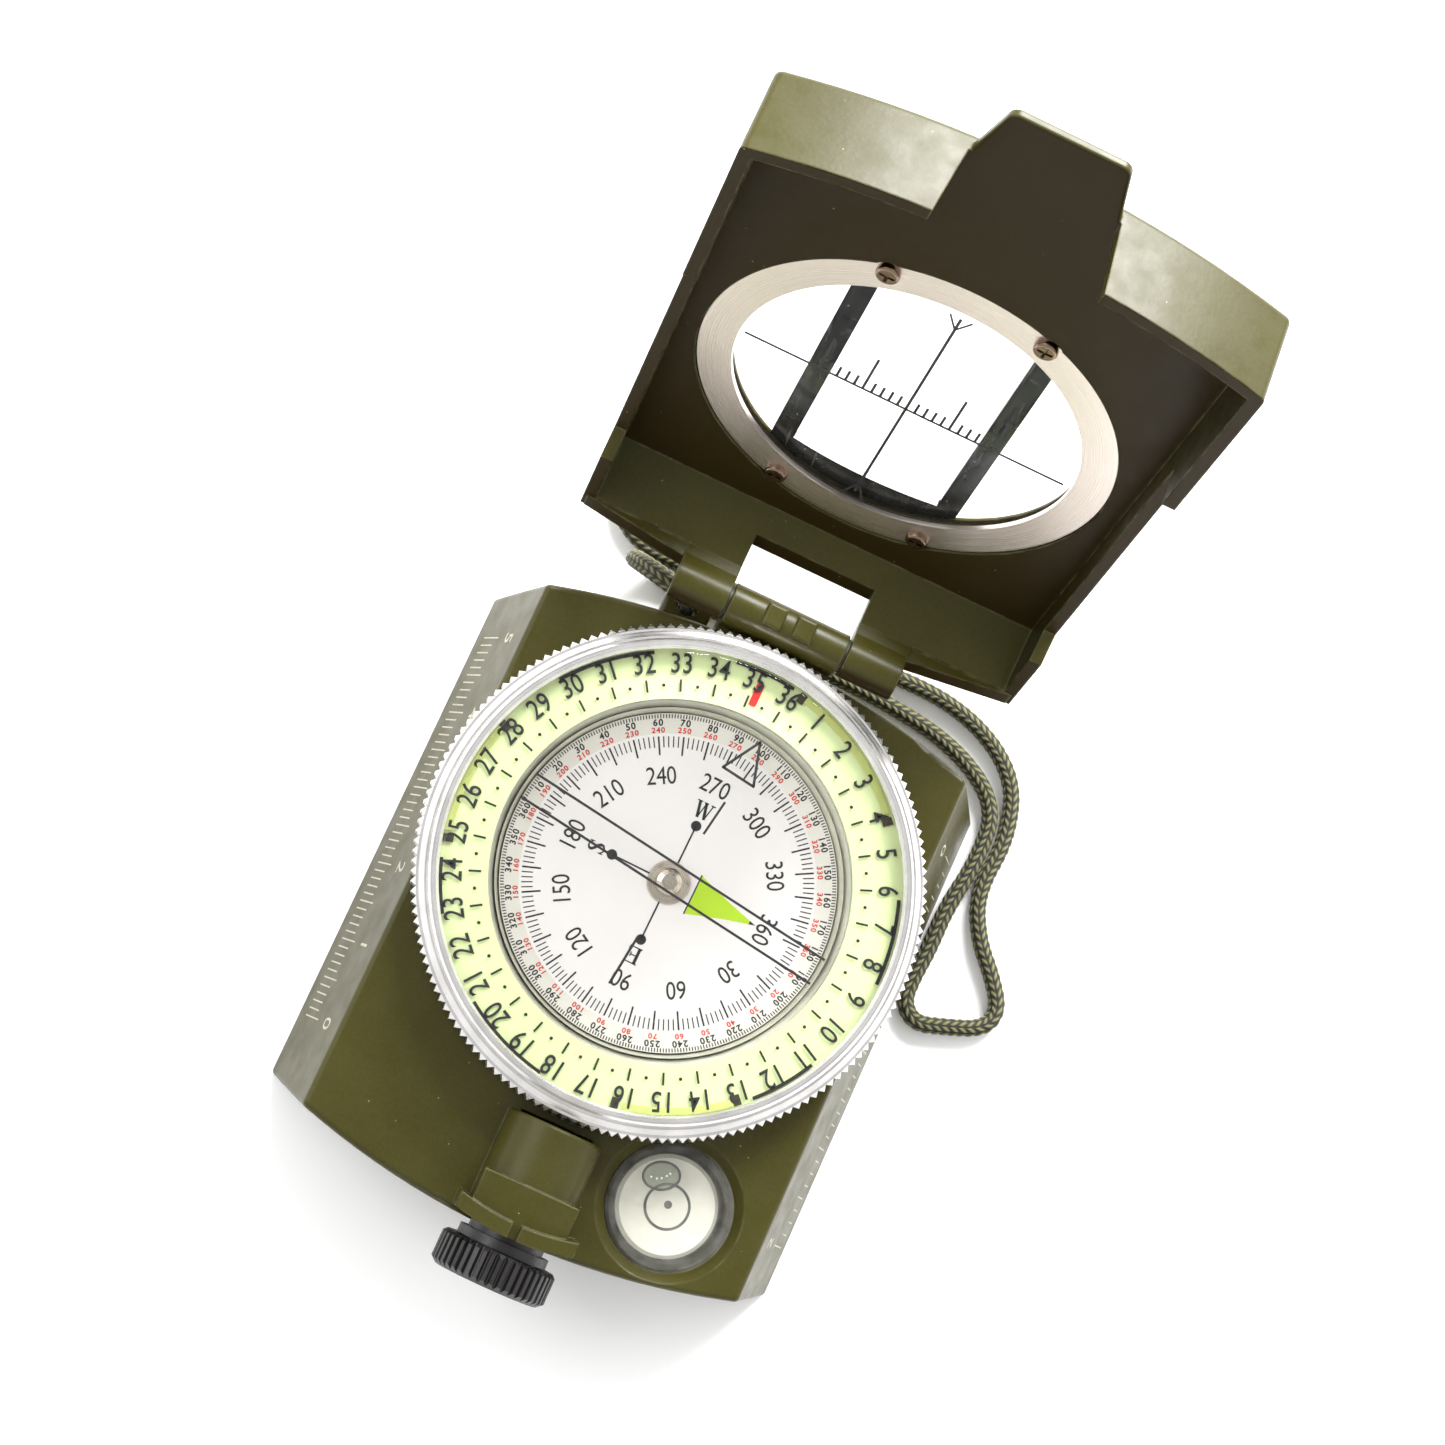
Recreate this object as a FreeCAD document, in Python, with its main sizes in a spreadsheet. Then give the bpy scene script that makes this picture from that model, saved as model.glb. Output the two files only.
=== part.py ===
"""Folding sighting compass: cast case, rotating bezel, floating card, hinged cover with a
reticle window, focusing eyepiece, bubble level and a braided wrist lanyard.

Millimetres. The origin is the mouth of the tripod socket in the base, on the bezel's axis.
+X runs along the hinge, +Y from the eyepiece towards the hinge, +Z up. The cover's pieces
are drawn as if it were shut and then turned open about the hinge.
"""
import FreeCAD, Part
import math
import os
import Sketcher

DIMENSIONS = {
    # case
    "base_width": 65.0,
    "top_width": 54.7,
    "case_height": 16.0,
    "end_arc": 96.2,
    "eye_end": 44.5,
    "hinge_end": 30.1,
    "edge_round": 0.7,
    "wall": 2.3,
    "base_plate_thick": 1.8,
    "base_inset": 3.0,
    "cavity_top": 13.4,
    "fit_gap": 0.05,
    "base_screw_x": 25.0,
    "base_screw_eye": 31.0,
    "base_screw_hinge": 18.5,
    "base_screw_rad": 1.0,
    # tripod socket, 1/4-20 UNC as a smooth wall
    "socket_rad": 2.55,
    "socket_outer": 4.6,
    "socket_flange": 6.2,
    "socket_deep": 5.0,
    # capsule and its ring
    "boss_rad": 27.5,
    "boss_top": 20.3,
    "well_floor": 8.2,
    "well_rad": 22.6,
    "well_ledge": 18.4,
    "well_mouth": 24.4,
    "bowl_wall": 1.2,
    "bowl_bore": 20.5,
    "dial_glass_thick": 0.9,
    "lume_inner": 21.1,
    "lume_thick": 0.5,
    "index_width": 0.9,
    # bezel
    "bezel_rad": 29.9,
    "bezel_foot": 16.35,
    "knurl_top": 21.1,
    "knurl_count": 160,
    "knurl_deep": 0.62,
    "lip_top": 22.9,
    "lip_inner": 26.75,
    "lip_outer": 28.1,
    "crystal_foot": 21.1,
    "crystal_thick": 1.1,
    "groove_foot": 17.6,
    "groove_high": 0.9,
    # card
    "card_top": 17.3,
    "card_rad": 17.4,
    "rim_rad": 19.7,
    "rim_rise": 0.9,
    "north_turn": 91.5,
    # eyepiece
    "eye_z": 16.7,
    "hood_rad": 5.8,
    "hood_start": 30.9,
    "hood_box": 38.2,
    "hood_box_top": 22.9,
    "ridge_start": 42.9,
    "ridge_half": 7.2,
    "ridge_top": 24.2,
    "sight_slot": 1.1,
    "tube_outer": 4.6,
    "tube_bore": 3.7,
    "knob_rad": 7.0,
    "knob_start": 46.2,
    "knob_end": 50.3,
    "knob_ribs": 44,
    "prism_foot": 8.4,
    # bubble level
    "level_x": 15.8,
    "level_y": 33.9,
    "level_rad": 7.5,
    "level_floor": 11.0,
    "level_proud": 0.2,
    # hinge
    "hinge_y": 32.7,
    "hinge_z": 19.1,
    "barrel_rad": 2.5,
    "barrel_half": 7.3,
    "knuckle_gap": 0.4,
    "knuckle_end": 14.4,
    "pin_rad": 0.9,
    "lid_open": 110.0,
    # lid, as if shut
    "lid_half": 28.1,
    "lid_top": 32.7,
    "lid_inner": 30.4,
    "lid_front": 43.9,
    "skirt_thick": 1.5,
    "skirt_deep": 21.75,
    "skirt_shallow": 26.5,
    "skirt_step": 17.4,
    "cut_half": 9.1,
    "tab_end": 50.7,
    "tab_root": 8.0,
    "tab_tip": 6.3,
    "tab_thick": 1.1,
    "ring_outer": 24.15,
    "ring_inner": 20.1,
    "ring_face": 30.7,
    "ring_thick": 0.6,
    "glass_rad": 21.2,
    "glass_thick": 1.0,
    "window_hole": 20.4,
    "window_screw_x": 9.05,
    "window_screw_y": 21.0,
    "sight_bar_in": 9.1,
    "sight_bar_out": 11.7,
    "sight_band": 16.6,
    # lanyard
    "cord_rad": 1.1,
    "lug_x": 11.2,
    "lug_y": 31.7,
    "lug_low": 9.6,
    "lug_high": 12.6,
    "lug_rad": 3.0,
    "lug_eye": 1.5,
}

# The lanyard's route, hand-placed: from the stopper knot up through the lug's eye, down to
# the ground, round the right-hand wall, out in a bight and back to its end knot.
CORD_ROUTE = [
    (-11.2, 31.7, 9.4),
    (-11.2, 31.7, 12.7),
    (-12.8, 32.1, 14.7),
    (-15.6, 32.8, 14.5),
    (-18.1, 33.8, 11.8),
    (-19.6, 34.9, 7.6),
    (-18.7, 35.8, 3.4),
    (-14.7, 35.6, 1.4),
    (-7.6, 34.4, 1.2),
    (3.5, 33.5, 1.2),
    (15.5, 33.4, 1.2),
    (26.5, 32.0, 1.2),
    (34.4, 27.4, 1.2),
    (34.9, 20.0, 1.2),
    (33.7, 13.2, 1.2),
    (33.8, 7.6, 1.2),
    (33.4, 3.8, 1.2),
    (33.5, 0.4, 1.2),
    (35.8, -1.4, 1.2),
    (39.2, -0.3, 1.2),
    (43.9, 1.5, 1.2),
    (44.8, 4.4, 1.2),
    (42.4, 7.8, 1.2),
    (38.9, 11.4, 1.2),
    (36.4, 16.6, 1.2),
    (37.3, 24.8, 1.2),
    (34.4, 32.4, 1.2),
    (25.0, 36.9, 1.2),
    (12.0, 36.6, 1.2),
    (-1.0, 37.4, 1.2),
    (-12.0, 38.0, 1.2),
    (-19.4, 37.9, 1.2),
    (-24.0, 41.1, 1.2),
    (-24.2, 46.3, 1.2),
    (-20.2, 49.6, 1.2),
    (-11.0, 49.4, 1.2),
    (0.0, 48.4, 1.2),
    (8.4, 48.7, 1.4),
    (14.0, 48.9, 2.6),
    (18.6, 49.2, 2.6),
]

doc = FreeCAD.newDocument("SightingCompass")
dims = doc.addObject("Spreadsheet::Sheet", "Dims")
for row, (alias, value) in enumerate(DIMENSIONS.items(), start=1):
    dims.set("A%d" % row, alias)
    dims.set("B%d" % row, str(value))
    dims.setAlias("B%d" % row, alias)
doc.recompute()

PARTS = []
VECTOR = FreeCAD.Vector
X_AXIS = VECTOR(1, 0, 0)
Y_AXIS = VECTOR(0, 1, 0)
Z_AXIS = VECTOR(0, 0, 1)


def bound(text):
    """A formula over the sheet: every @name becomes the cell of that alias."""
    return text.replace("@", "Dims.")


def bind(thing, **formulas):
    for name, text in formulas.items():
        thing.setExpression(name.replace("__", "."), bound(text))
    return thing


def put(thing, x="0", y="0", z="0", axis=Z_AXIS, angle=0.0):
    thing.Placement = FreeCAD.Placement(VECTOR(0, 0, 0), FreeCAD.Rotation(axis, angle))
    return bind(thing, Placement__Base__x=x, Placement__Base__y=y, Placement__Base__z=z)


def cylinder(radius, height, x="0", y="0", z="0", axis=Z_AXIS, angle=0.0):
    shape = doc.addObject("Part::Cylinder", "Cylinder")
    return put(bind(shape, Radius=radius, Height=height), x, y, z, axis, angle)


def along_x(radius, start, length, y, z):
    return cylinder(radius, length, start, y, z, Y_AXIS, 90)


def along_y(radius, start, length, x, z):
    return cylinder(radius, length, x, start, z, X_AXIS, -90)


def box(width, depth, height, x, y, z):
    shape = doc.addObject("Part::Box", "Box")
    return put(bind(shape, Length=width, Width=depth, Height=height), x, y, z)


def cone(low_radius, high_radius, height, x="0", y="0", z="0"):
    shape = doc.addObject("Part::Cone", "Cone")
    return put(bind(shape, Radius1=low_radius, Radius2=high_radius, Height=height), x, y, z)


def fuse(*shapes):
    joined = doc.addObject("Part::MultiFuse", "Fuse")
    joined.Shapes = list(shapes)
    joined.Refine = True
    return joined


def common(*shapes):
    shared = doc.addObject("Part::MultiCommon", "Common")
    shared.Shapes = list(shapes)
    return shared


def cut(base, *tools):
    tool = tools[0] if len(tools) == 1 else fuse(*tools)
    piece = doc.addObject("Part::Cut", "Cut")
    piece.Base = base
    piece.Tool = tool
    return piece


def polygon_sketch(body, role, corners, offset="0"):
    """A closed outline in one of the body's own planes, each corner held by two formulas."""
    sketch = body.newObject("Sketcher::SketchObject", "Outline")
    plane = [datum for datum in body.Origin.OriginFeatures if datum.Role == role][0]
    sketch.AttachmentSupport = [(plane, "")]
    sketch.MapMode = "FlatFace"
    bind(sketch, AttachmentOffset__Base__z=offset)
    count = len(corners)
    start = [VECTOR(math.cos(2 * math.pi * k / count), math.sin(2 * math.pi * k / count), 0)
             for k in range(count)]
    for k in range(count):
        sketch.addGeometry(Part.LineSegment(start[k], start[(k + 1) % count]))
    for k in range(count):
        sketch.addConstraint(Sketcher.Constraint("Coincident", k, 2, (k + 1) % count, 1))
    for k, corner in enumerate(corners):
        for kind, value, text in zip(("DistanceX", "DistanceY"), start[k], corner):
            index = sketch.addConstraint(Sketcher.Constraint(kind, -1, 1, k, 1, value))
            sketch.setExpression("Constraints[%d]" % index, bound(text))
    return sketch


def turned(label, corners):
    """A round piece: a profile of (radius, height) turned about its own Z axis."""
    body = doc.addObject("PartDesign::Body", label)
    sketch = polygon_sketch(body, "XZ_Plane", corners)
    turn = body.newObject("PartDesign::Revolution", "Turn")
    turn.Profile = sketch
    turn.ReferenceAxis = (sketch, ["V_Axis"])
    turn.Angle = 360
    return body


def prism(role, corners, length, offset="0", both_ways=False):
    """A straight piece: an outline in one plane, pushed along that plane's normal."""
    body = doc.addObject("PartDesign::Body", "Prism")
    sketch = polygon_sketch(body, role, corners, offset)
    pad = body.newObject("PartDesign::Pad", "Push")
    pad.Profile = sketch
    bind(pad, Length=length)
    pad.Midplane = both_ways
    return body


def finish(piece, label):
    piece.Label = label
    PARTS.append(piece)
    return piece


def open_on_hinge(piece):
    """Turns a piece drawn on the shut cover to the cover's rest position."""
    piece.Placement = FreeCAD.Placement(VECTOR(0, 0, 0), FreeCAD.Rotation(X_AXIS, -1))
    turn = "cos(@lid_open * 1deg)"
    lift = "sin(@lid_open * 1deg)"
    return bind(
        piece,
        Placement__Rotation__Angle="-@lid_open * 1deg",
        Placement__Base__y="@hinge_y - @hinge_y * %s - @hinge_z * %s" % (turn, lift),
        Placement__Base__z="@hinge_z + @hinge_y * %s - @hinge_z * %s" % (lift, turn))


def rounded(base, radius, chosen):
    """Rounds the edges of a shape that the test picks by their middle point."""
    doc.recompute()
    rounds = doc.addObject("Part::Fillet", "Rounds")
    rounds.Base = base
    picked = []
    for number, edge in enumerate(base.Shape.Edges, start=1):
        middle = edge.valueAt((edge.FirstParameter + edge.LastParameter) / 2)
        if chosen(middle, edge):
            picked.append((number, radius, radius))
    rounds.Edges = picked
    return rounds


def ribbed_disc(radius, count, deep, height, crest=0.0):
    """A disc with ribs round its edge, as one straight-sided solid. The crest is the flat
    top's share of a rib's pitch, and 0 makes the ribs V-shaped."""
    profile = [(0.0, radius), (0.5, radius - deep)]
    if crest > 0:
        profile = [(-crest / 2, radius), (crest / 2, radius), (0.42, radius - deep),
                   (0.58, radius - deep)]
    corners = []
    for k in range(count):
        for share, reach in profile:
            angle = 2 * math.pi * (k + share) / count
            corners.append(VECTOR(reach * math.cos(angle), reach * math.sin(angle), 0))
    face = Part.Face(Part.makePolygon(corners + corners[:1]))
    disc = doc.addObject("Part::Feature", "Ribs")
    disc.Shape = face.extrude(VECTOR(0, 0, height))
    return disc


# ---------------------------------------------------------------- case
def end_common(solid, inset):
    """Trims a block to the two bowed ends, a given distance inside them."""
    near = cylinder("@end_arc - (%s)" % inset, "60", "0", "@end_arc - @eye_end", "-10")
    far = cylinder("@end_arc - (%s)" % inset, "60", "0", "@hinge_end - @end_arc", "-10")
    return common(solid, near, far)


def case_block():
    sides = [("-@base_width / 2", "0"), ("@base_width / 2", "0"),
             ("@top_width / 2", "@case_height"), ("-@top_width / 2", "@case_height")]
    block = end_common(prism("XZ_Plane", sides, "120", both_ways=True), "0")
    height = DIMENSIONS["case_height"]

    def outer_edge(middle, edge):
        upright = abs(edge.BoundBox.ZLength - height) < 0.01
        return upright or middle.z > height - 0.01
    return rounded(block, DIMENSIONS["edge_round"], outer_edge)


def case_cavity():
    low, high = "@base_plate_thick", "@cavity_top"
    sides = [("@wall + 2.2 - @base_width / 2", low), ("@base_width / 2 - @wall - 2.2", low),
             ("@top_width / 2 - @wall", high), ("@wall - @top_width / 2", high)]
    hollow = end_common(prism("XZ_Plane", sides, "120", both_ways=True), "@wall + 2.2")
    keep = [cylinder("@well_mouth + 0.4", "20", z="@socket_deep + 0.6"),
            cylinder("@level_rad + 1.6", "20", "@level_x", "-@level_y", "@level_floor - 1.6"),
            box("2 * @hood_rad + 2", "24", "20", "-@hood_rad - 1", "-48", "@prism_foot - 1.6"),
            box("2 * @barrel_half + 14", "10", "20", "-@barrel_half - 7", "20", "8")]
    for x in ("-@base_screw_x", "@base_screw_x"):
        for y in ("-@base_screw_eye", "@base_screw_hinge"):
            keep.append(cylinder("3.2", "20", x, y, "@base_plate_thick - 1"))
    return cut(hollow, *keep)


def base_outline(gap, z, height):
    slab = box("@base_width - 2 * @base_inset - 2 * %s" % gap, "120", height,
               "@base_inset + %s - @base_width / 2" % gap, "-60", z)
    return end_common(slab, "@base_inset - 0.8 + %s" % gap)


def eyepiece_hood():
    dome = along_y("@hood_rad", "-@hood_box - 0.5", "@hood_box - @hood_start + 0.5", "0",
                   "@eye_z")
    dome_foot = box("2 * @hood_rad", "@hood_box - @hood_start", "4", "-@hood_rad",
                    "-@hood_box", "@eye_z - 4")
    block = box("2 * @hood_rad", "@ridge_start - @hood_box + 0.6", "@hood_box_top - 12",
                "-@hood_rad", "-@ridge_start - 0.6", "12")
    bow = cut(cylinder("30", "@ridge_top - 12", "0", "30.2 - @eye_end", "12"),
              cylinder("28.2", "20", "0", "30.2 - @eye_end", "10"))
    ridge = common(bow, box("2 * @ridge_half", "6", "30", "-@ridge_half", "-46.5", "5"))
    slot = box("@sight_slot", "6", "3", "-@sight_slot / 2", "-46.5", "@ridge_top - 1.3")
    return fuse(rounded(fuse(dome, dome_foot), 0.4, lambda middle, edge:
                        middle.y > -31.0 and middle.z > 17.5),
                block, cut(ridge, slot))


def hinge_bracket():
    corners = [("27.5", "9.5"), ("31.0", "10.5"), ("34.9", "17.6"), ("35.1", "@hinge_z"),
               ("30.3", "@hinge_z"), ("30.3", "@case_height - 0.1"),
               ("27.5", "@case_height - 0.1")]
    arm = prism("YZ_Plane", corners, "2 * @barrel_half", both_ways=True)
    barrel = along_x("@barrel_rad", "-@barrel_half", "2 * @barrel_half", "@hinge_y",
                     "@hinge_z")
    pads = [box("2.4", "2.8", "2.2", x, "@hinge_y - 1.2", "@hinge_z + 0.9")
            for x in ("-3.1", "0.7")]
    pads = [rounded(pad, 0.35, lambda middle, edge: middle.z > 22.0) for pad in pads]
    return fuse(arm, barrel, *pads)


def lanyard_lug():
    foot = box("2 * @lug_rad", "@lug_y - 27.5", "@lug_high - @lug_low",
               "-@lug_x - @lug_rad", "27.5", "@lug_low")
    eye = cylinder("@lug_rad", "@lug_high - @lug_low", "-@lug_x", "@lug_y", "@lug_low")
    return rounded(fuse(foot, eye), 0.6, lambda middle, edge:
                   middle.y > 29.0 and edge.BoundBox.ZLength < 0.01)


def body_housing():
    boss = cylinder("@boss_rad", "@boss_top - 12", z="12")
    solid = fuse(case_block(), boss, eyepiece_hood(), hinge_bracket(), lanyard_lug())
    groove = cut(cylinder("@boss_rad + 1", "@groove_high", z="@groove_foot"),
                 cylinder("@boss_rad - 0.9", "4", z="@groove_foot - 1"))
    tools = [
        case_cavity(),
        base_outline("0", "-1", "@base_plate_thick + 1"),
        cylinder("@well_rad", "20", z="@well_floor"),
        cylinder("@well_mouth", "10", z="@well_ledge"),
        groove,
        cylinder("@level_rad + @fit_gap", "10", "@level_x", "-@level_y", "@level_floor"),
        cone("@level_rad", "@level_rad + 1.2", "1.2", "@level_x", "-@level_y",
             "@case_height - 1.15"),
        along_y("@tube_outer", "-60", "60 - 30.6", "0", "@eye_z"),
        box("7.7", "10.4", "7.4", "-3.85", "-32.4", "@prism_foot"),
        along_x("@pin_rad", "-20", "40", "@hinge_y", "@hinge_z"),
        cylinder("@lug_eye", "10", "-@lug_x", "@lug_y", "@lug_low - 4"),
    ]
    for x in ("-@base_screw_x", "@base_screw_x"):
        for y in ("-@base_screw_eye", "@base_screw_hinge"):
            tools.append(cylinder("@base_screw_rad", "6", x, y, "0"))
    return finish(cut(solid, *tools), "body_housing")


def base_plate():
    plate = base_outline("@fit_gap", "0", "@base_plate_thick")
    boss = cylinder("@socket_flange + 1.4", "2.4", z="0")
    tools = [cylinder("@socket_outer", "20", z="-5"), cylinder("@socket_flange", "1", z="-0.2")]
    for x in ("-@base_screw_x", "@base_screw_x"):
        for y in ("-@base_screw_eye", "@base_screw_hinge"):
            tools.append(cylinder("@base_screw_rad + 0.1", "20", x, y, "-5"))
            tools.append(cone("2.45", "@base_screw_rad", "1.32", x, y, "-0.05"))
    return finish(cut(fuse(plate, boss), *tools), "base_plate")


def base_screws():
    screws = []
    for x in ("-@base_screw_x", "@base_screw_x"):
        for y in ("-@base_screw_eye", "@base_screw_hinge"):
            head = cone("2.2", "@base_screw_rad", "1.1", x, y, "0.1")
            shank = cylinder("@base_screw_rad", "5.5", x, y, "0.3")
            bar = box("2.6", "0.5", "0.5", x + " - 1.3", y + " - 0.25", "0")
            post = box("0.5", "2.6", "0.5", x + " - 0.25", y + " - 1.3", "0")
            screws.append(cut(fuse(head, shank), bar, post))
    group = doc.addObject("Part::Compound", "Screws")
    group.Links = screws
    return finish(group, "base_screws")


def tripod_insert():
    return finish(turned("tripod_insert", [
        ("@socket_rad", "0"), ("@socket_flange - @fit_gap", "0"),
        ("@socket_flange - @fit_gap", "0.8"), ("@socket_outer - @fit_gap", "0.8"),
        ("@socket_outer - @fit_gap", "@socket_deep"), ("@socket_rad", "@socket_deep")]),
        "tripod_insert")


# ---------------------------------------------------------------- capsule
def capsule():
    floor, rim = "@well_floor", "@boss_top - @dial_glass_thick"
    finish(turned("capsule_bowl", [
        ("0", floor), ("@well_rad - 0.1", floor), ("@well_rad - 0.1", "@well_ledge + 0.3"),
        ("@well_mouth - 0.1", "@well_ledge + 0.3"), ("@well_mouth - 0.1", rim),
        ("@lume_inner", rim), ("@bowl_bore", "@card_top + 1.1"),
        ("@bowl_bore", "@well_floor + 2 * @bowl_wall"),
        ("@bowl_bore - 1", "@well_floor + @bowl_wall"), ("0", "@well_floor + @bowl_wall")]),
        "capsule_bowl")
    finish(turned("capsule_gasket", [
        ("@well_rad", "@well_ledge"), ("@well_mouth - 0.1", "@well_ledge"),
        ("@well_mouth - 0.1", "@well_ledge + 0.3"), ("@well_rad", "@well_ledge + 0.3")]),
        "capsule_gasket")
    finish(turned("capsule_glass", [
        ("0", rim), ("@well_mouth - 0.1", rim), ("@well_mouth - 0.1", "@boss_top"),
        ("0", "@boss_top")]), "capsule_glass")
    finish(turned("luminous_ring", [
        ("@lume_inner", "@boss_top"), ("@boss_rad - 0.2", "@boss_top"),
        ("@boss_rad - 0.2", "@boss_top + @lume_thick"),
        ("@lume_inner", "@boss_top + @lume_thick")]), "luminous_ring")
    mark = box("@index_width", "2.9", "0.12", "-@index_width / 2", "22.4",
               "@boss_top + @lume_thick")
    finish(rounded(mark, 0.3, lambda middle, edge: edge.BoundBox.ZLength > 0.1), "index_mark")


def pivot():
    finish(turned("pivot_post", [
        ("0", "@well_floor + @bowl_wall"), ("3.2", "@well_floor + @bowl_wall"),
        ("3.2", "@well_floor + @bowl_wall + 0.8"), ("1.1", "@well_floor + @bowl_wall + 1.6"),
        ("1.1", "@card_top - 3.4"), ("0.35", "@card_top - 3.4"),
        ("0.35", "@card_top - 4.9"), ("0", "@card_top - 4.9")]), "pivot_post")
    finish(turned("pivot_needle", [
        ("0", "@card_top - 4.9"), ("0.35", "@card_top - 4.9"), ("0.35", "@card_top - 1.1"),
        ("0", "@card_top - 0.3")]), "pivot_needle")


# ---------------------------------------------------------------- card
def card():
    thin = "@card_top - 0.4"
    finish(turned("dial_card", [
        ("2.0", thin), ("@card_rad", thin), ("@card_rad", "@card_top"),
        ("2.0", "@card_top")]), "dial_card")
    finish(turned("dial_rim", [
        ("@card_rad - 1.2", "@card_top - 0.8"), ("@card_rad + 0.1", "@card_top - 0.8"),
        ("@rim_rad", "@card_top + @rim_rise - 0.5"), ("@rim_rad", "@card_top + @rim_rise"),
        ("@card_rad", "@card_top"), ("@card_rad", thin), ("@card_rad - 1.2", thin)]),
        "dial_rim")
    bar = box("4.4", "25", "1.2", "-2.2", "-12.5", "@card_top - 1.6")
    bore = cylinder("2.0", "5", z="@card_top - 3")
    magnet = cut(bar, bore)
    finish(magnet, "dial_magnet")
    magnet.Placement = FreeCAD.Placement(
        VECTOR(0, 0, 0), FreeCAD.Rotation(Z_AXIS, -DIMENSIONS["north_turn"]))
    finish(turned("dial_hub", [
        ("0.9", "@card_top - 1.7"), ("2.0", "@card_top - 1.7"), ("2.0", "@card_top"),
        ("2.6", "@card_top"), ("2.5", "@card_top + 0.35"), ("1.7", "@card_top + 0.45"),
        ("1.45", "@card_top + 0.9"), ("0.9", "@card_top + 1.1"), ("0", "@card_top + 1.15"),
        ("0", "@card_top + 0.5"), ("0.9", "@card_top + 0.5")]), "dial_hub")
    finish(turned("jewel_bearing", [
        ("0.55", "@card_top - 1.3"), ("0.9", "@card_top - 1.3"), ("0.9", "@card_top + 0.5"),
        ("0", "@card_top + 0.5"), ("0", "@card_top - 0.15"), ("0.55", "@card_top - 0.9")]),
        "jewel_bearing")


# ---------------------------------------------------------------- bezel
def bezel():
    teeth = ribbed_disc(DIMENSIONS["bezel_rad"], DIMENSIONS["knurl_count"],
                        DIMENSIONS["knurl_deep"],
                        DIMENSIONS["knurl_top"] - DIMENSIONS["bezel_foot"])
    teeth.Placement = FreeCAD.Placement(VECTOR(0, 0, DIMENSIONS["bezel_foot"]),
                                        FreeCAD.Rotation())
    bevel = turned("bezel_bevel", [
        ("0", "@bezel_foot"), ("@bezel_rad - 0.6", "@bezel_foot"),
        ("@bezel_rad + 0.1", "@bezel_foot + 0.6"), ("@bezel_rad + 0.1", "@knurl_top - 0.6"),
        ("@bezel_rad - 0.6", "@knurl_top"), ("0", "@knurl_top")])
    crown = turned("bezel_crown", [
        ("0", "@knurl_top - 0.5"), ("@bezel_rad - 0.9", "@knurl_top - 0.5"),
        ("@bezel_rad - 0.9", "@knurl_top + 0.15"), ("@lip_outer + 0.25", "@knurl_top + 0.6"),
        ("@lip_outer + 0.25", "@knurl_top + 0.35"), ("@lip_outer", "@knurl_top + 0.35"),
        ("@lip_outer - 0.15", "@lip_top - 0.25"), ("@lip_outer - 0.4", "@lip_top"),
        ("@lip_inner + 0.35", "@lip_top"), ("@lip_inner", "@lip_top - 0.45"),
        ("@lip_inner", "@crystal_foot + @crystal_thick"),
        ("0", "@crystal_foot + @crystal_thick")])
    bore = turned("bezel_bore", [
        ("0", "@bezel_foot - 1"), ("@boss_rad + @fit_gap", "@bezel_foot - 1"),
        ("@boss_rad + @fit_gap", "@groove_foot"), ("@boss_rad + 0.6", "@groove_foot"),
        ("@boss_rad + 0.6", "@groove_foot + @groove_high"),
        ("@boss_rad + @fit_gap", "@groove_foot + @groove_high"),
        ("@boss_rad + @fit_gap", "@crystal_foot + @crystal_thick"),
        ("@lip_inner", "@crystal_foot + @crystal_thick"), ("@lip_inner", "@lip_top + 1"),
        ("0", "@lip_top + 1")])
    finish(cut(fuse(common(teeth, bevel), crown), bore), "bezel_ring")
    finish(turned("bezel_crystal", [
        ("0", "@crystal_foot"), ("@boss_rad", "@crystal_foot"),
        ("@boss_rad", "@crystal_foot + @crystal_thick"),
        ("@lip_inner - 0.05", "@crystal_foot + @crystal_thick"),
        ("@lip_inner - 0.45", "@crystal_foot + @crystal_thick + 0.15"),
        ("0", "@crystal_foot + @crystal_thick + 0.15")]), "bezel_crystal")
    wire = turned("wire_ring", [
        ("@boss_rad - 0.8", "@groove_foot + 0.1"), ("@boss_rad + 0.5", "@groove_foot + 0.1"),
        ("@boss_rad + 0.5", "@groove_foot + @groove_high - 0.1"),
        ("@boss_rad - 0.8", "@groove_foot + @groove_high - 0.1")])
    finish(cut(wire, box("6", "5", "4", "-3", "25", "@groove_foot - 1")), "bezel_snap_ring")


# ---------------------------------------------------------------- eyepiece
def facing_eye(piece):
    """Turns a piece made about +Z so that its axis is the line of sight, looking to -Y."""
    return put(piece, "0", "0", "@eye_z", X_AXIS, 90)


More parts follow.
